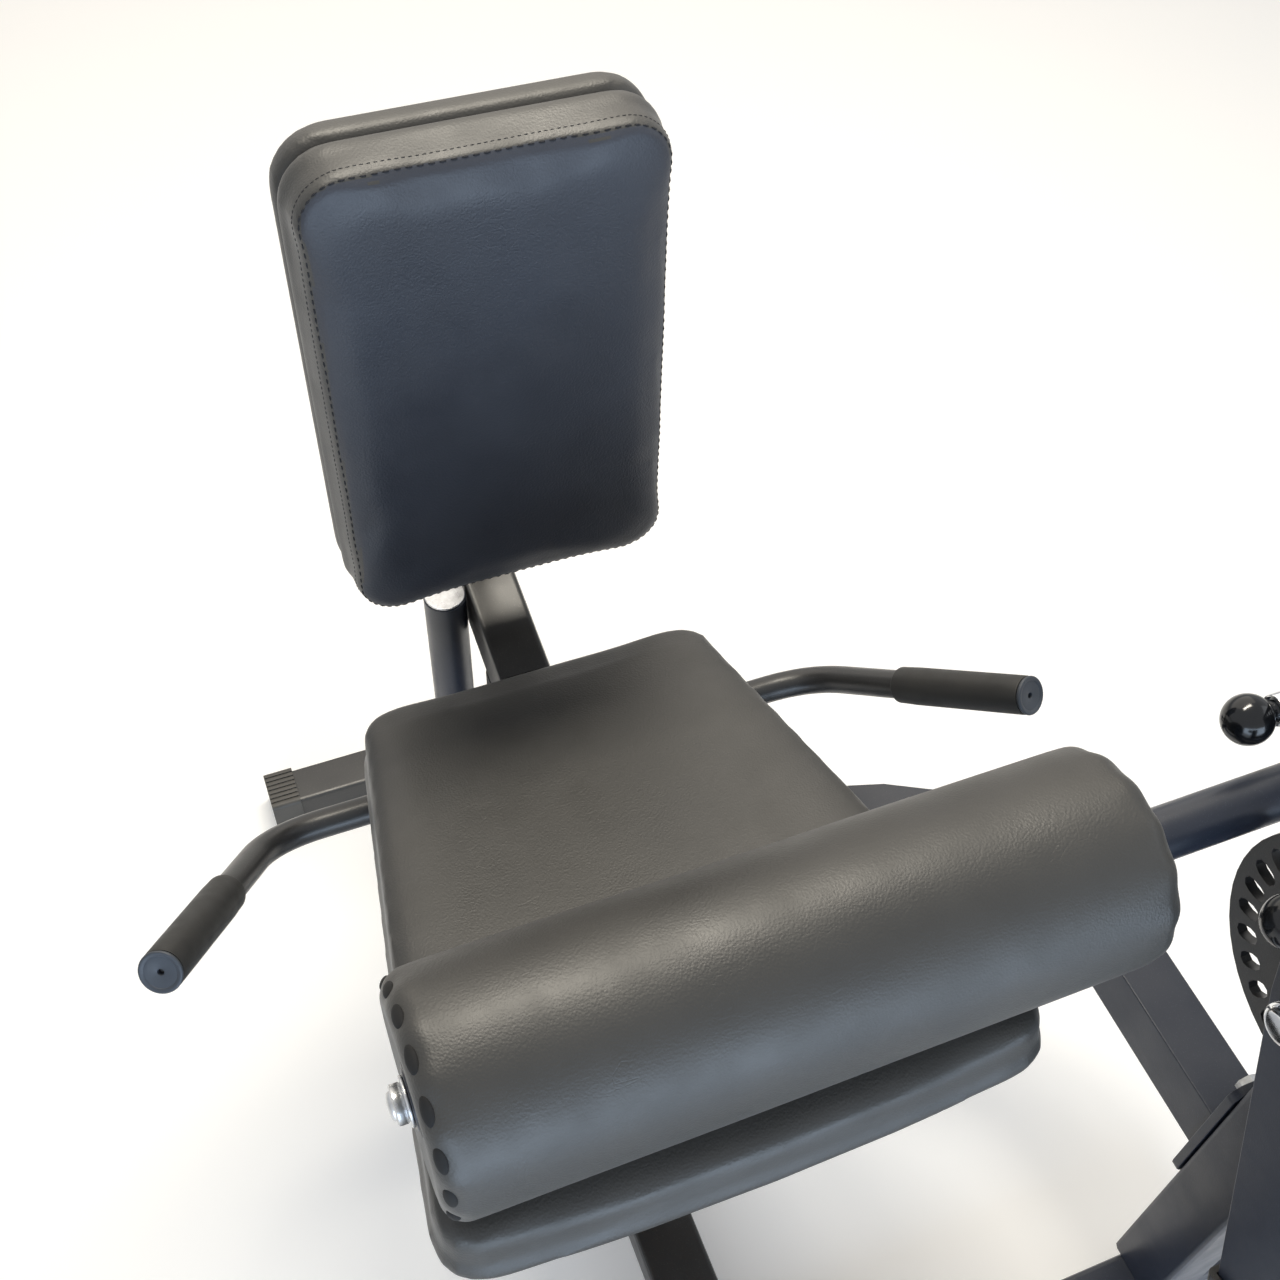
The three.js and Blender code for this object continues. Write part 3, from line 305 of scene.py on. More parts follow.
# %% Vinyl
def make_vinyl(name, dark, light):
    vinyl = Finish(name, dark, 0.5, Specular_IOR_Level=0.72, Sheen_Weight=0.1, Sheen_Roughness=0.5)
    vinyl.colours(vinyl.noise(7, 4, 0.6), (0.3, dark), (0.72, light))
    vinyl.roughness(vinyl.noise(22, 3), 0.44, 0.56)
    vinyl.bump(vinyl.noise(11, 2), 0.004, 0.22)
    vinyl.bump(vinyl.cells(640, "SMOOTH_F1"), 0.00034, 0.5)
    vinyl.bump(vinyl.noise(1500, 2), 0.00012, 0.5)
    crease = vinyl.ranged(vinyl.cells(85, "DISTANCE_TO_EDGE"), 0.0, 0.035, 0.0, 1.0)
    mask = vinyl.ranged(vinyl.noise(13, 3, 0.7), 0.56, 0.7, 1.0, 0.0)
    both = vinyl.node("ShaderNodeMath", operation="MAXIMUM")
    vinyl.link(crease, both.inputs[0])
    vinyl.link(mask, both.inputs[1])
    vinyl.bump(both.outputs[0], 0.0004, 0.22)
    return vinyl.material


BLACK_VINYL = make_vinyl("black_vinyl", (0.019, 0.018, 0.0158), (0.031, 0.0292, 0.0255))
# A bluer copy of the black vinyl for the back pad's forward faces: painted cool light from the window in
# front.
COOL_LIT_VINYL = make_vinyl("vinyl_painted_window_light", (0.0125, 0.0155, 0.025), (0.019, 0.0235, 0.036))
print(BLACK_VINYL.name, "has", len(BLACK_VINYL.node_tree.nodes), "nodes")

# %% [markdown]
# ### Powder coat
# The paint is a baked powder. It flows into a satin skin with a very fine orange peel, and the
# batch on this machine has fine lighter specks in it. Cells give the specks: only the middle of
# each cell, and only where a second noise agrees, becomes lighter.

# %% Paint
def make_paint(name, base, speck):
    paint = Finish(name, base, 0.36, Specular_IOR_Level=0.5, Coat_Weight=0.12, Coat_Roughness=0.25)
    dots = paint.ranged(paint.cells(900), 0.1, 0.3, 1.0, 0.0)
    some = paint.ranged(paint.noise(420, 1), 0.5, 0.62, 0.0, 1.0)
    both = paint.node("ShaderNodeMath", operation="MULTIPLY")
    paint.link(dots, both.inputs[0])
    paint.link(some, both.inputs[1])
    paint.colours(both.outputs[0], (0.0, base), (1.0, speck))
    paint.roughness(paint.noise(30, 3), 0.32, 0.44)
    paint.bump(paint.noise(850, 2), 0.00016, 0.5)
    paint.bump(paint.noise(60, 2), 0.0006, 0.15)
    return paint.material


BLACK_PAINT = make_paint("black_powder_coat", (0.021, 0.0208, 0.0212), (0.075, 0.072, 0.068))
BLUE_PAINT = make_paint("blue_black_powder_coat", (0.017, 0.0215, 0.035), (0.055, 0.064, 0.09))
print(BLUE_PAINT.name, "has", len(BLUE_PAINT.node_tree.nodes), "nodes")

# %% [markdown]
# ### Rubber, plastic, thread and wood
# Grips are matt foamed rubber with a dusty bloom, caps are moulded plastic with a slight
# orange peel, and the ball knobs are polished phenolic. The seat board is bare plywood.

# %% Rubber, plastic, thread and wood
def make_mottled(name, dark, light, rough, grain, depth, **sockets):
    """A colour that drifts between two shades, with a fine relief."""
    finish = Finish(name, dark, rough[0], **sockets)
    finish.colours(finish.noise(35, 4), (0.3, dark), (0.72, light))
    finish.roughness(finish.noise(70, 3), *rough)
    finish.bump(finish.noise(grain, 3), depth, 0.5)
    return finish.material


GRIP_RUBBER = make_mottled(
    "grip_rubber", (0.012, 0.0118, 0.0112), (0.019, 0.0185, 0.0172), (0.5, 0.64), 900, 0.0002)
CAP_RUBBER = make_mottled(
    "grip_cap_plastic", (0.035, 0.042, 0.055), (0.05, 0.06, 0.076), (0.42, 0.52), 1100, 0.00012)
FOOT_PLASTIC = make_mottled(
    "foot_plastic", (0.05, 0.047, 0.043), (0.07, 0.066, 0.06), (0.45, 0.58), 700, 0.0002)
DARK_PLASTIC = make_mottled(
    "dark_plastic", (0.016, 0.016, 0.017), (0.024, 0.024, 0.025), (0.4, 0.5), 900, 0.00012)
BALL_GLOSS = make_mottled(
    "ball_gloss", (0.004, 0.0045, 0.006), (0.006, 0.0068, 0.0085), (0.12, 0.18), 90, 0.00002)
THREAD = make_mottled(
    "black_thread", (0.006, 0.006, 0.008), (0.011, 0.011, 0.014), (0.7, 0.8), 2400, 0.0001)
HOLE_DARK = make_mottled(
    "hole_shadow", (0.0035, 0.0035, 0.004), (0.005, 0.005, 0.005), (0.8, 0.9), 300, 0.0002)

plywood = Finish("plywood", (0.3, 0.2, 0.11), 0.7)
plies = plywood.noise(90, 3, 0.6, stretch=(0.25, 0.05, 9))
plywood.colours(plies, (0.35, (0.17, 0.1, 0.05)), (0.55, (0.34, 0.23, 0.13)), (0.7, (0.42, 0.3, 0.18)))
plywood.bump(plies, 0.0006, 0.5)
PLYWOOD = plywood.material
print(len(bpy.data.materials), "materials so far")

# %% [markdown]
# ### Bare metals
# Chrome mirrors almost cleanly, zinc plate is a frosty grey with darker blooms, and turned
# steel has fine rings from the lathe, which a noise squeezed along X draws on every axle here.

# %% Metals
def make_metal(name, dark, light, rough, stretch=None, grain=260, depth=0.00006):
    metal = Finish(name, dark, rough[0], metallic=1.0)
    metal.colours(metal.noise(120, 4, 0.6), (0.3, dark), (0.7, light))
    metal.roughness(metal.noise(160, 3), *rough)
    metal.bump(metal.noise(grain, 3, 0.6, stretch), depth, 0.4)
    return metal.material


CHROME = make_metal("chrome", (0.74, 0.75, 0.77), (0.82, 0.83, 0.84), (0.05, 0.11))
ZINC = make_metal("zinc_plate", (0.5, 0.5, 0.5), (0.74, 0.75, 0.76), (0.24, 0.38), grain=500, depth=0.0001)
STEEL = make_metal("turned_steel", (0.36, 0.36, 0.37), (0.5, 0.5, 0.51), (0.3, 0.42), stretch=(40, 1, 1))
print(len(bpy.data.materials), "materials with the metals")

# %% [markdown]
# ## Tubes and plates
# The frame's steel has the right sizes, with plain sharp edges. Real tubes are rolled and real
# plates are deburred, so every edge carries a thin line of light. Each steel piece is copied,
# its loose triangles are merged and flat ones joined, and its edges get a small rounded bevel.
# The copy stands for the frame's piece in the picture and rides with the same body.

# %% Copy a frame piece with softened edges
MERGE = 2e-5
FLAT = math.radians(1.0)
CREASE = math.radians(27)
EDGE_SEGMENTS = 2
FINE_EDGE = 0.6
body_of_node = {
    node: body for body, nodes in frame["record"]["behaviour"]["bodies"].items() for node in nodes
}


def merged_copy(node):
    """The node's mesh as a bmesh with shared corners and whole flat faces."""
    bm = bmesh.new()
    bm.from_mesh(frame["nodes"][node].data)
    bmesh.ops.remove_doubles(bm, verts=bm.verts, dist=MERGE)
    bmesh.ops.dissolve_limit(bm, angle_limit=FLAT, verts=bm.verts, edges=bm.edges)
    return bm


def smooth(piece, sharp=35):
    """Smooth shading, except across edges sharper than an angle in degrees."""
    for polygon in piece.data.polygons:
        polygon.use_smooth = True
    piece.data.set_sharp_from_angle(angle=math.radians(sharp))


def stands_for(piece, material, node):
    """Gives a piece its material and its body, and hides the frame piece that it stands for."""
    piece.data.materials.clear()
    piece.data.materials.append(material)
    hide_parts(node)
    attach(piece, body_of_node[node])


def soften(node, material, radius):
    """A copy of a node with its edges rounded by a radius in millimetres."""
    bm = merged_copy(node)
    edges = [e for e in bm.edges if e.is_manifold and e.calc_face_angle(0) > CREASE]
    bmesh.ops.bevel(
        bm, geom=edges, offset=radius * MM, offset_type="OFFSET", segments=EDGE_SEGMENTS,
        profile=0.5, affect="EDGES", clamp_overlap=True, material=-1,
    )
    piece = new_piece(node + "_finished", bm)
    smooth(piece)
    keep_flat = piece.modifiers.new("flat_faces", "WEIGHTED_NORMAL")
    keep_flat.keep_sharp = True
    stands_for(piece, material, node)


PAINTED = {
    "rear_cross_tube": 1.4, "front_cross_tube": 1.4, "base_spine": 1.4, "seat_rail": 1.4,
    "seat_post": 1.4, "rear_beam": 1.4, "rear_leg": 1.4, "main_post": 1.4, "side_arm": 1.3, "arm_flange": 1.0,
    "pivot_housing": 0.8, "quadrant_plate": 0.8, "carriage_sleeve": 1.0, "back_upright": 1.2,
    "thigh_arm_plate": 1.0, "weight_arm": 1.2, "leg_lever": 1.4, "shin_carriage": 1.0, "round_peg": 0.8,
}
BLUE_BLACK = {"main_post", "leg_lever", "side_arm", "arm_flange", "front_cross_tube", "round_peg"}
for node, radius in PAINTED.items():
    soften(node, BLUE_PAINT if node in BLUE_BLACK else BLACK_PAINT, radius)
soften("rom_disc", BLACK_PAINT, FINE_EDGE)
OTHERS = {
    "foot_cap_rear_left": FOOT_PLASTIC, "foot_cap_rear_right": FOOT_PLASTIC,
    "foot_cap_front_left": FOOT_PLASTIC, "foot_cap_front_right": FOOT_PLASTIC,
    "seat_rail_plug": DARK_PLASTIC, "rear_beam_plug": DARK_PLASTIC, "leg_lever_plug": DARK_PLASTIC,
    "thigh_roller_core": DARK_PLASTIC, "weight_horn_cap": DARK_PLASTIC, "thigh_shaft_collar": DARK_PLASTIC,
    "flange_bolt_upper": ZINC, "flange_bolt_lower": ZINC, "axle_nut": ZINC, "shin_end_nut": ZINC,
    "round_peg_cap": ZINC, "bearing_inner": STEEL, "bearing_outer": STEEL, "drive_axle": STEEL,
    "weight_horn": CHROME, "seat_board": PLYWOOD,
}
for node, material in OTHERS.items():
    soften(node, material, FINE_EDGE)
print(len(PAINTED) + len(OTHERS) + 1, "pieces softened")

# %% [markdown]
# ## Round pieces
# Knobs, barrels, nuts and grips are turned on a lathe in the workshop, and Spin is Blender's
# lathe: a half outline goes once round an axis. Each outline is a list of (radius, distance
# along the axis) in millimetres, and a matrix lays the lathe's axis where the piece lies.

# %% Lathe
def axis_matrix(start, direction):
    """A frame at start whose Z runs along direction."""
    turn = Vector(direction).normalized().to_track_quat("Z", "Y")
    return Matrix.Translation(start) @ turn.to_matrix().to_4x4()


LATHE_STEPS = 56
LATHE_SHARP = 40


def lathe(outline, where, steps=LATHE_STEPS):
    """Spins an outline round Z and lays it in place."""
    bm = bmesh.new()
    points = [bm.verts.new((radius * MM, 0, along * MM)) for radius, along in outline]
    edges = [bm.edges.new(pair) for pair in zip(points, points[1:])]
    bmesh.ops.spin(
        bm, geom=points + edges, cent=(0, 0, 0), axis=(0, 0, 1), angle=math.tau, steps=steps, use_merge=True,
    )
    bmesh.ops.remove_doubles(bm, verts=bm.verts, dist=MERGE)
    bmesh.ops.recalc_face_normals(bm, faces=bm.faces)
    bmesh.ops.transform(bm, matrix=where, verts=bm.verts)
    return bm


def arc(radius, centre_radius, centre_along, start, end, count):
    """Points of an outline on an arc, its angles in degrees from the radial direction."""
    angles = [math.radians(start + (end - start) * i / count) for i in range(count + 1)]
    return [(centre_radius + radius * math.cos(a), centre_along + radius * math.sin(a)) for a in angles]


RIGHTWARD = (1, 0, 0)
LEFTWARD = (-1, 0, 0)


def turned_piece(name, outline, start, direction, material, node):
    piece = new_piece(name, lathe(outline, axis_matrix(start, direction)))
    smooth(piece, LATHE_SHARP)
    stands_for(piece, material, node)
    print(name, "turned with", len(piece.data.polygons), "faces")


# %% [markdown]
# ### Ball knobs and spring pins
# A spring pin is a steel plunger with a black ball pressed on its end, in a chromed barrel. The
# plunger and the ball are one piece in the frame, so they are drawn here as one outline: the
# ball's arc stops where the plunger's straight side begins.

# %% Spring pins
KNOB = 18.5
PLUNGER_CHAMFER = 1
THIGH_PIN = (-272, 699)
LEVER_PIN_RISE = 97.5
GROOVE_DEPTH, GROOVE_HALF, GROOVE_FLAT = 0.7, 1.2, 0.6


def pin_outline(plunger, length):
    """From the ball's pole to the plunger's tip."""
    neck = math.degrees(math.acos(plunger / KNOB))
    ball = arc(KNOB, 0, 0, -90, neck, 24)
    tip = [(plunger, length - PLUNGER_CHAMFER), (plunger - PLUNGER_CHAMFER, length), (0, length)]
    return [(0, -KNOB)] + ball[1:] + tip


def spring_pin(node, knob, tip_distance, plunger, direction):
    turned_piece(node + "_turned", pin_outline(plunger, tip_distance), knob, direction, BALL_GLOSS, node)


LEVER_KNOB = LEVER_FRAME @ Vector((326 * MM, 0, LEVER_PIN_RISE * MM))
LEVER_BARREL = LEVER_FRAME @ Vector((347.5 * MM, 0, LEVER_PIN_RISE * MM))
CARRIAGE_KNOB = BEAM_FRAME @ Vector((76.9 * MM, 163 * MM, -25 * MM))
spring_pin("thigh_pin", place(403, *THIGH_PIN), 87, 8, RIGHTWARD)
spring_pin("lever_pin", LEVER_KNOB, 73, 6.1, RIGHTWARD)
spring_pin("carriage_pin", CARRIAGE_KNOB, 51.6, 8, LEFTWARD)


def barrel_outline(bore, outer, length):
    """A tube with rounded rims and, where it is long enough, two turned grooves."""
    grooves = []
    floor_radius = outer - GROOVE_DEPTH
    for share in (0.3, 0.7) if length > 10 else ():
        grooves += [(outer, length * share - GROOVE_HALF), (floor_radius, length * share - GROOVE_FLAT)]
        grooves += [(floor_radius, length * share + GROOVE_FLAT), (outer, length * share + GROOVE_HALF)]
    low, high = arc(1, outer - 1, 1, -90, 0, 4), arc(1, outer - 1, length - 1, 0, 90, 4)
    return [(bore, 0)] + low + grooves + high + [(bore, length), (bore, 0)]


turned_piece("thigh_pin_barrel_turned", barrel_outline(8.4, 12, 40.2), place(424.5, *THIGH_PIN),
             RIGHTWARD, CHROME, "thigh_pin_barrel")
turned_piece("lever_pin_barrel_turned", barrel_outline(6.5, 12, 4.2), LEVER_BARREL,
             RIGHTWARD, CHROME, "lever_pin_barrel")

# %% [markdown]
# ### Axle cap and the roller's end nut
# A chromed cap covers the main axle's end on the lever, and a washer, a hexagon nut and a dome
# hold the thigh roller on its shaft, drawn as one outline.

# %% Axle cap and end nut
cap_outline = [(0, 0)] + arc(6, 10, 6, -90, 0, 8) + arc(1.2, 14.8, 18.8, 0, 90, 4) + [(0, 20)]
cap_start = place(331.4, *MAIN_AXLE)
turned_piece("axle_hub_cap_turned", cap_outline, cap_start, RIGHTWARD, CHROME, "axle_hub_cap")

nut_outline = [(0, 9), (8.3, 9), (8.3, 0), (15.2, 0)]
nut_outline += arc(0.8, 15.2, 0.8, -90, 0, 3) + arc(0.8, 15.2, 1.6, 0, 90, 3)
nut_outline += [(11.8, 2.4), (12.6, 3.4), (12.6, 8.8), (11.6, 9.6), (9.2, 9.7)]
nut_outline += [(9.0, 10.6), (8.0, 11.8), (6.0, 12.6), (3.2, 12.95), (0, 13)]
nut_start = place(-214.3, *THIGH_SHAFT)
turned_piece("thigh_end_nut_turned", nut_outline, nut_start, LEFTWARD, ZINC, "thigh_end_nut")

# %% [markdown]
# ## Handles and grips
# A handle is a round tube, bent once and welded to the seat rail. A ring of points is pulled
# along the bent path one step at a time: Extrude makes the next ring and a matrix carries it to
# its place. The bend is a quadratic curve between the two straight runs, close to the round
# bend that a tube bender makes. The roller's shaft is turned here too, in the blue-black paint.

# %% Handle tubes
HANDLE = {
    "start": (25.3, 45, 427), "corner": (252, 45, 427), "end": (343.5, -129, 575),
    "trim": 46, "radius": 12.5,
}
BEND_STEPS = 16
TUBE_SEGMENTS = 40


def handle_path(side):
    """Frames along the handle, from the rail to its end."""
    corners = [HANDLE[name] for name in ("start", "corner", "end")]
    start, corner, end = (place(side * x, y, z) for x, y, z in corners)
    into, out = (corner - start).normalized(), (end - corner).normalized()
    a, b = corner - into * HANDLE["trim"] * MM, corner + out * HANDLE["trim"] * MM
    points, ways = [start], [into]
    for i in range(BEND_STEPS + 1):
        t = i / BEND_STEPS
        points.append(a * (1 - t) ** 2 + corner * 2 * t * (1 - t) + b * t * t)
        ways.append((corner - a) * (1 - t) + (b - corner) * t)
    return points + [end], ways + [out], out


def sweep(points, ways, radius):
    """A round bar along a path, closed at both ends."""
    bm = bmesh.new()
    turn = ways[0].normalized().to_track_quat("Z", "Y")
    at = Matrix.Translation(points[0]) @ turn.to_matrix().to_4x4()
    bmesh.ops.create_circle(bm, cap_ends=True, radius=radius, segments=TUBE_SEGMENTS, matrix=at)
    edges = list(bm.edges)
    for before, after, point in zip(ways, ways[1:], points[1:]):
        turn = before.rotation_difference(after) @ turn
        to = Matrix.Translation(point) @ turn.to_matrix().to_4x4()
        grown = bmesh.ops.extrude_edge_only(bm, edges=edges)["geom"]
        ring = [g for g in grown if isinstance(g, bmesh.types.BMVert)]
        edges = [g for g in grown if isinstance(g, bmesh.types.BMEdge)]
        bmesh.ops.transform(bm, matrix=to @ at.inverted(), verts=ring)
        at = to
    bmesh.ops.contextual_create(bm, geom=edges)
    bmesh.ops.recalc_face_normals(bm, faces=bm.faces)
    return bm


GRIP_LENGTH = 132
CAP_STANDS_OUT = 1.3
grip_outline = [(12.9, 0)] + arc(1.8, 14.0, 1.8, -90, 0, 6)
grip_outline += [(15.9, 8), (16.3, 20), (16.2, 60), (16.1, 110), (16, GRIP_LENGTH - 1)]
grip_outline += [(15.4, GRIP_LENGTH + 0.8), (12.9, GRIP_LENGTH + 0.8), (12.9, 0)]
face = [(0, -9), (9, -9), (9, 0.2), (15.2, 0.2)] + arc(1.4, 14.6, 2.2, -45, 90, 8)
face += [(12.6, 3.3), (11.9, 2.6), (3.4, 2.4), (2.6, 2.1), (2.3, 0.6), (2.2, -3), (0, -3)]

for side, word in ((-1, "left"), (1, "right")):
    points, ways, out = handle_path(side)
    tube = new_piece("handle_" + word + "_tube", sweep(points, ways, HANDLE["radius"] * MM))
    smooth(tube, 50)
    stands_for(tube, BLACK_PAINT, "handle_" + word)
    end = points[-1]
    grip_start = end - out * GRIP_LENGTH * MM
    turned_piece("grip_" + word + "_sleeve", grip_outline, grip_start, out, GRIP_RUBBER, "grip_" + word)
    cap = "grip_cap_" + word
    turned_piece(cap + "_turned", face, end + out * CAP_STANDS_OUT * MM, out, CAP_RUBBER, cap)

# The thigh roller's shaft, and its threaded end.
shaft = [(0, -8), (7.4, -8), (8, -7.4), (8, 0)] + arc(1, 18, 1, -90, 0, 3)
shaft += [(19, 678), (18.3, 678.7), (0, 678.7)]
shaft_start = place(-214, *THIGH_SHAFT)
turned_piece("thigh_shaft_turned", shaft, shaft_start, RIGHTWARD, BLUE_PAINT, "thigh_shaft")

# %% [markdown]
# ## Cushions
# A seat cushion is cut foam under tight vinyl. Foam pushes out and the vinyl pulls back at the
# corners, so its faces crown by a few millimetres and its sides belly between the edges. Cloth
# with a little pressure does just that: the block is remeshed to even quads, its underside is
# pinned to its board, the pressure swells it for twenty frames, and a cap keeps it in its space.

# %% Inflate a block of foam
FOAM_PRESSURE = 4
FOAM_CAP = 5.0
FOAM_FRAMES = 20
CALM_ROUNDS = 14
GLUE_LINE, GLUE_REACH = 4, 16


def remeshed(name, node, voxel, inset, freedom):
    """The node's solid with even quads, pulled in where it is free, so that it can swell back."""
    piece = new_piece(name, merged_copy(node))
    grid = piece.modifiers.new("even_quads", "REMESH")
    grid.mode = "VOXEL"
    grid.voxel_size = voxel * MM
    evaluated = piece.evaluated_get(bpy.context.evaluated_depsgraph_get())
    bm = bmesh.new()
    bm.from_mesh(evaluated.to_mesh())
    piece.modifiers.clear()
    bmesh.ops.smooth_vert(bm, verts=bm.verts, factor=0.5, use_axis_x=True, use_axis_y=True, use_axis_z=True)
    bm.normal_update()
    moved = [(vert, vert.co - vert.normal * inset * MM * freedom(vert.co)) for vert in bm.verts]
    for vert, to in moved:
        vert.co = to
    bm.to_mesh(piece.data)
    bm.free()
    return piece


def calmed(piece, moves, rounds):
    """Every point's move averaged with its neighbours' again and again, so that no ripple stays."""
    for _ in range(rounds):
        total = [move.copy() for move in moves]
        count = [1] * len(moves)
        for edge in piece.data.edges:
            a, b = edge.vertices
            total[a] += moves[b]
            total[b] += moves[a]
            count[a] += 1
            count[b] += 1
        moves = [sum_of / number for sum_of, number in zip(total, count)]
    return moves


def inflate(piece, freedom):
    """Swells a closed mesh like foam under vinyl. It stays put where freedom(point) is 0."""
    start = [vert.co.copy() for vert in piece.data.vertices]
    free = [freedom(point) for point in start]
    pins = piece.vertex_groups.new(name="held")
    pins.add([i for i, amount in enumerate(free) if amount == 0], 1.0, "REPLACE")
    cloth = piece.modifiers.new("foam", "CLOTH")
    cloth.settings.effector_weights.gravity = 0
    cloth.settings.use_pressure = True
    cloth.settings.uniform_pressure_force = FOAM_PRESSURE
    cloth.settings.tension_stiffness = 30
    cloth.settings.compression_stiffness = 30
    cloth.settings.bending_stiffness = 4
    cloth.settings.vertex_group_mass = "held"
    cloth.point_cache.frame_start, cloth.point_cache.frame_end = 1, FOAM_FRAMES
    for number in range(1, FOAM_FRAMES + 1):
        scene.frame_set(number)
    swollen = piece.evaluated_get(bpy.context.evaluated_depsgraph_get()).to_mesh()
    moves = [now.co - before for now, before in zip(swollen.vertices, start)]
    longest = max(move.length for move in moves) / MM
    capped = [move * min(1, FOAM_CAP * MM / max(move.length, 1e-9)) for move in moves]
    calm_moves = calmed(piece, capped, CALM_ROUNDS)
    for vert, before, move, amount in zip(piece.data.vertices, start, calm_moves, free):
        vert.co = before + move * amount
    scene.frame_set(1)
    print(piece.name, "swelled by", round(longest, 1), "mm before the cap")
    piece.modifiers.remove(cloth)
    piece.vertex_groups.clear()


def ramp(distance, reach):
    """0 at or below no distance, in metres, rising to 1 at reach millimetres."""
    return min(1.0, max(0.0, distance / (reach * MM)))


# %% [markdown]
# ### Sewn lines
# A seam is a shallow valley where two panels meet, with a row of thread beside it. The valley
# is pressed into the finished mesh: points nearer to the seam's path than its width sink along
# their normal. Each stitch is a short capsule laid on the surface, found by casting from the
# path on to the mesh.

# %% Seams and stitches
def even_points(outline, spacing):
    """Points on a closed outline at an even spacing, each with its direction along the outline."""
    found, carry = [], 0.0
    for a, b in zip(outline, outline[1:] + outline[:1]):
        length = (b - a).length
        along = (b - a).normalized() if length > 0 else Vector((1, 0, 0))
        while carry < length:
            found.append((a + along * carry, along))
            carry += spacing
        carry -= length
    return found


def press_seam(piece, outline, width, depth):
    """Sinks the surface along an outline of points lying near it."""
    from_seam = BVHTree.FromPolygons(*ribbon(outline))
    for vert in piece.data.vertices:
        near = from_seam.find_nearest(vert.co, width * 2)
        if near[0] is not None:
            share = math.exp(-((near[3] / width) ** 2) * 2)
            vert.co -= vert.normal * depth * share


def ribbon(outline):
    """A thin closed strip along an outline, as corners and faces for a nearest-point search."""
    count = len(outline)
    corners = outline + [point + Vector((0, 0, 1e-5)) for point in outline]
    faces = [(i, (i + 1) % count, (i + 1) % count + count, i + count) for i in range(count)]
    return corners, faces


def stitches(name, piece, outline, spacing, length, thickness, rise, body, slot):
    """A row of thread on a piece's surface, following an outline near it, sizes in metres."""
    surface = BVHTree.FromObject(piece, bpy.context.evaluated_depsgraph_get())
    bm = bmesh.new()
    for point, along in even_points(outline, spacing):
        spot, normal, _, _ = surface.find_nearest(point)
        across = normal.cross(along).normalized()
        turn = Matrix((along, across, normal)).transposed().to_4x4()
        size = Matrix.Diagonal((length / 2, thickness / 2, thickness / 2, 1))
        at = Matrix.Translation(spot + normal * rise) @ turn @ size
        bmesh.ops.create_icosphere(bm, subdivisions=1, radius=1, matrix=at)
    row = new_piece(name, bm)
    smooth(row, 80)
    row.data.materials.append(THREAD)
    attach(row, body)
    print(name, "has", len(row.data.polygons), "faces")


# %% [markdown]
# ### Seat cushion
# The seat is a tapered block, wider to the front, with a front edge that bows out and falls
# away under the knees. Its skin is one tight sheet with no seam on top.

# %% Seat cushion
def subdivided(piece):
    fine = piece.modifiers.new("fine", "SUBSURF")
    fine.levels = fine.render_levels = 1


SEAT_THICKNESS = 52
to_seat = SEAT_FRAME.inverted()


def seat_freedom(point):
    """The underside is glued to the board."""
    return ramp((to_seat @ point).z + (SEAT_THICKNESS - GLUE_LINE) * MM, GLUE_REACH)


seat = remeshed("seat_cushion", "seat_pad", 5, 3.0, seat_freedom)
inflate(seat, seat_freedom)

# The front edge falls away: the last stretch of the top sinks more and more towards the front.
FALL_START, FALL_LENGTH, FALL_DEPTH = 434, 84, 16
for vert in seat.data.vertices:
    local = to_seat @ vert.co
    past = ramp(-local.y - FALL_START * MM, FALL_LENGTH)
    local.z -= FALL_DEPTH * MM * past ** 2 * ramp(local.z + SEAT_THICKNESS * MM, SEAT_THICKNESS)
    vert.co = SEAT_FRAME @ local
subdivided(seat)
smooth(seat, 180)
stands_for(seat, BLACK_VINYL, "seat_pad")
print("seat cushion has", len(seat.data.polygons), "faces before its subdivision")

# %% [markdown]
# ### Back cushion
# The back rest is two layers. In front is a thick cushion with a face panel, a narrow strip of
# edging and a side band, joined by two seams: a lapped seam with dark dashes at the face and a
# fine topstitched line some twelve millimetres behind it. Behind a dark groove lies a thinner layer on
# the board. The frame's own back board has both in one, so one piece stands for it.

# %% Back cushion
BACK = {"width": 276, "height": 414, "corner": 42, "middle": 199, "front": 49}
to_back = BACK_FRAME.inverted()


def back_freedom(point):
    """The rear face is glued to the layer behind."""
    return ramp((BACK["front"] - GLUE_LINE) * MM - (to_back @ point).y, GLUE_REACH)


def stays(point):
    """The rear layer is glued all over, so nothing of it is pulled in."""
    return 0.0


back = remeshed("back_cushion", "back_pad", 4, 3.0, back_freedom)
inflate(back, back_freedom)


CORNER_STEPS = 12


def back_outline(inset, depth):
    """The pad's rounded rectangle at a depth behind its face."""
    half_width, half_height = BACK["width"] / 2 - inset, BACK["height"] / 2 - inset
    radius = BACK["corner"] - inset
    points = []
    for turn, (sx, sz) in enumerate(((1, 1), (-1, 1), (-1, -1), (1, -1))):
        for i in range(CORNER_STEPS + 1):
            angle = math.radians(90 * (turn + i / CORNER_STEPS))
            x = sx * (half_width - radius) + radius * math.cos(angle)
            z = sz * (half_height - radius) + radius * math.sin(angle) + BACK["middle"]
            points.append(BACK_FRAME @ Vector((x * MM, depth * MM, z * MM)))
    return points


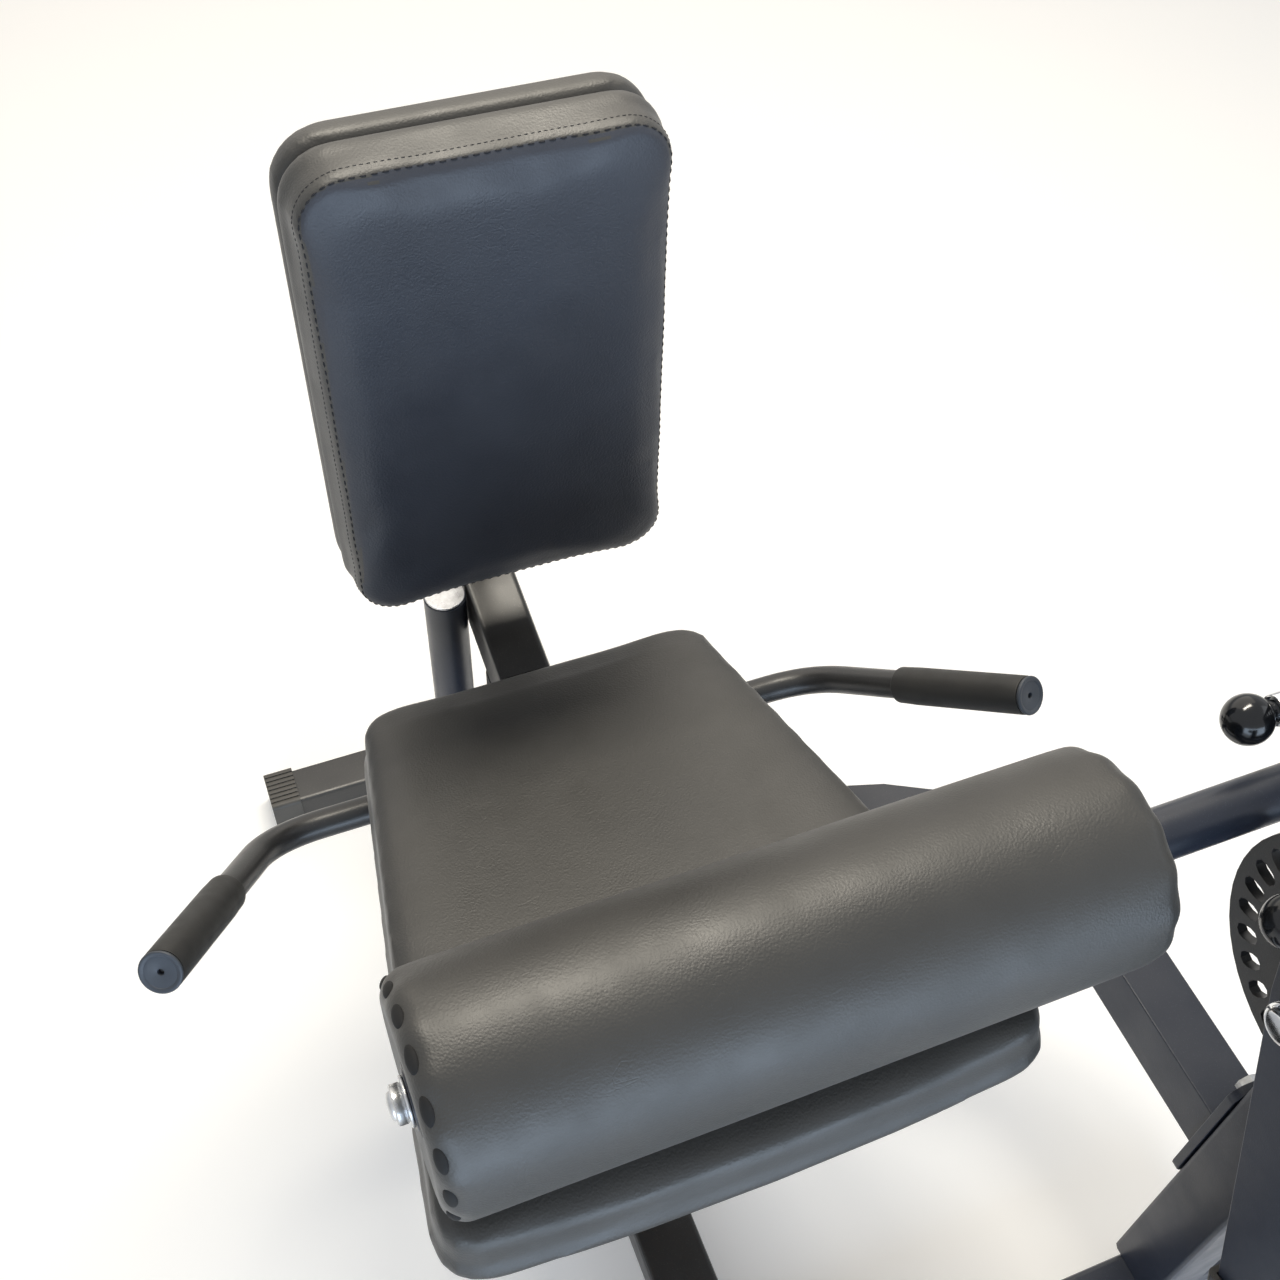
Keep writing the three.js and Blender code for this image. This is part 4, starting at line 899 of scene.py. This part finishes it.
FACE_SEAM_DEPTH = 2.5
BAND_SEAM_DEPTH = 14
face_seam, band_seam = back_outline(3.0, FACE_SEAM_DEPTH), back_outline(0, BAND_SEAM_DEPTH)
press_seam(back, face_seam, 0.0035, 0.0022)
press_seam(back, band_seam, 0.0022, 0.0010)
back.data.update()
subdivided(back)
smooth(back, 180)
stands_for(back, COOL_LIT_VINYL, "back_pad")
back.data.materials.append(BLACK_VINYL)
FACE_SEAM_LEAN = -0.72
backward = BACK_FRAME.to_3x3() @ Vector((0, 1, 0))
# Faces turned forward keep the first slot, the bluer vinyl with painted cool window light; the rest take the
# black vinyl.
for polygon in back.data.polygons:
    polygon.material_index = int(polygon.normal.dot(backward) > FACE_SEAM_LEAN)
on_back = ("back_carriage", "black_vinyl")
stitches("back_face_stitches", back, face_seam, 0.0075, 0.0056, 0.0018, -0.0001, *on_back)
stitches("back_band_stitches", back, band_seam, 0.0046, 0.0034, 0.0009, 0.0, *on_back)

rear = remeshed("back_rear_layer", "back_board", 4, 0, stays)
subdivided(rear)
smooth(rear, 180)
stands_for(rear, BLACK_VINYL, "back_board")
print("back cushion has", len(back.data.polygons), "faces before its subdivision")

# %% [markdown]
# ### Rollers
# A roller is a foam tube under a vinyl sleeve. At its ends the sleeve is gathered by a cord
# laced through a ring of holes, so the shoulder is soft and each hole pulls a dimple. Spin makes
# the drum, and a formula presses the dimples and a very slight unevenness along its flank.

# %% Rollers
LACE_HOLES = 15
DRUM_STEPS = 150
FLANK_STEPS, FACE_STEPS, SHOULDER_STEPS = 60, 12, 14
DISH = 4
GATHER, UNEVEN = 2.8, 0.5
HOLE_LEAN = math.radians(48)
HOLE_SINK = 1.2
HOLE_SIZE = (0.0026, 0.0095, 0.0048)


def roller(name, node, where, radius, bore, length, shoulder):
    """A drum along the local Z from 0 to length."""
    ends = arc(shoulder, radius - shoulder, shoulder, -90, 0, SHOULDER_STEPS)
    straight, flat = length - 2 * shoulder, radius - shoulder - bore
    flank = [(radius, shoulder + straight * i / FLANK_STEPS) for i in range(1, FLANK_STEPS)]
    far = arc(shoulder, radius - shoulder, length - shoulder, 0, 90, SHOULDER_STEPS)
    face_rings = [bore + flat * i / FACE_STEPS for i in range(FACE_STEPS)]
    dish = [DISH * (1 - (r - bore) / flat) for r in face_rings]
    outline = list(zip(face_rings, dish)) + ends + flank + far
    outline += [(r, length - deep) for r, deep in zip(reversed(face_rings), reversed(dish))]
    outline.append(outline[0])
    bm = lathe(outline, Matrix.Identity(4), DRUM_STEPS)
    for vert in bm.verts:
        out, along = math.hypot(vert.co.x, vert.co.y) / MM, vert.co.z / MM
        if out < bore + 1:
            continue
        angle = math.atan2(vert.co.y, vert.co.x)
        to_end = min(along, length - along)
        ripple = 0.5 + 0.5 * math.cos(LACE_HOLES * angle)
        gather = math.exp(-((to_end / (shoulder * 0.8)) ** 2)) * min(1, out / radius) ** 3
        slow = 0.5 * math.sin(3 * angle + along * 0.013) + 0.35 * math.sin(5 * angle - along * 0.021)
        squeeze = -GATHER * gather * ripple + UNEVEN * slow * math.sin(math.pi * along / length)
        vert.co.x *= 1 + squeeze / out
        vert.co.y *= 1 + squeeze / out
    bmesh.ops.transform(bm, matrix=where, verts=bm.verts)
    piece = new_piece(name, bm)
    smooth(piece, 60)
    stands_for(piece, BLACK_VINYL, node)
    print(name, "has", len(piece.data.polygons), "faces")


def lace_holes(name, where, radius, shoulder, body):
    """Dark slots round the gathered end, sunk a little into the shoulder."""
    bm = bmesh.new()
    for i in range(LACE_HOLES):
        angle = math.tau * i / LACE_HOLES
        out = radius - shoulder + shoulder * math.cos(HOLE_LEAN) - HOLE_SINK
        along = shoulder - shoulder * math.sin(HOLE_LEAN) + HOLE_SINK
        spin = Matrix.Rotation(angle, 4, "Z")
        lean = Matrix.Rotation(HOLE_LEAN, 4, "Y")
        at = where @ spin @ Matrix.Translation((out * MM, 0, along * MM)) @ lean
        slot_size = Matrix.Diagonal((*HOLE_SIZE, 1))
        bmesh.ops.create_icosphere(bm, subdivisions=3, radius=1, matrix=at @ slot_size)
    holes = new_piece(name, bm)
    smooth(holes, 80)
    holes.data.materials.append(HOLE_DARK)
    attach(holes, body)


THIGH_RADIUS, THIGH_SHOULDER = 77, 17
thigh_at = axis_matrix(shaft_start, RIGHTWARD)
roller("thigh_roller_drum", "thigh_roller_pad", thigh_at, THIGH_RADIUS, 23.2, 496, THIGH_SHOULDER)
lace_holes("thigh_roller_lacing", thigh_at, THIGH_RADIUS, THIGH_SHOULDER, "thigh_roller")
SHIN_RADIUS, SHIN_SHOULDER = 55, 15
shin_start = LEVER_FRAME @ Vector((-190 * MM, 0, -360 * MM))
shin_at = axis_matrix(shin_start, RIGHTWARD)
roller("shin_roller_drum", "shin_roller_pad", shin_at, SHIN_RADIUS, 13.2, 380, SHIN_SHOULDER)
lace_holes("shin_roller_lacing", shin_at, SHIN_RADIUS, SHIN_SHOULDER, "shin_roller")
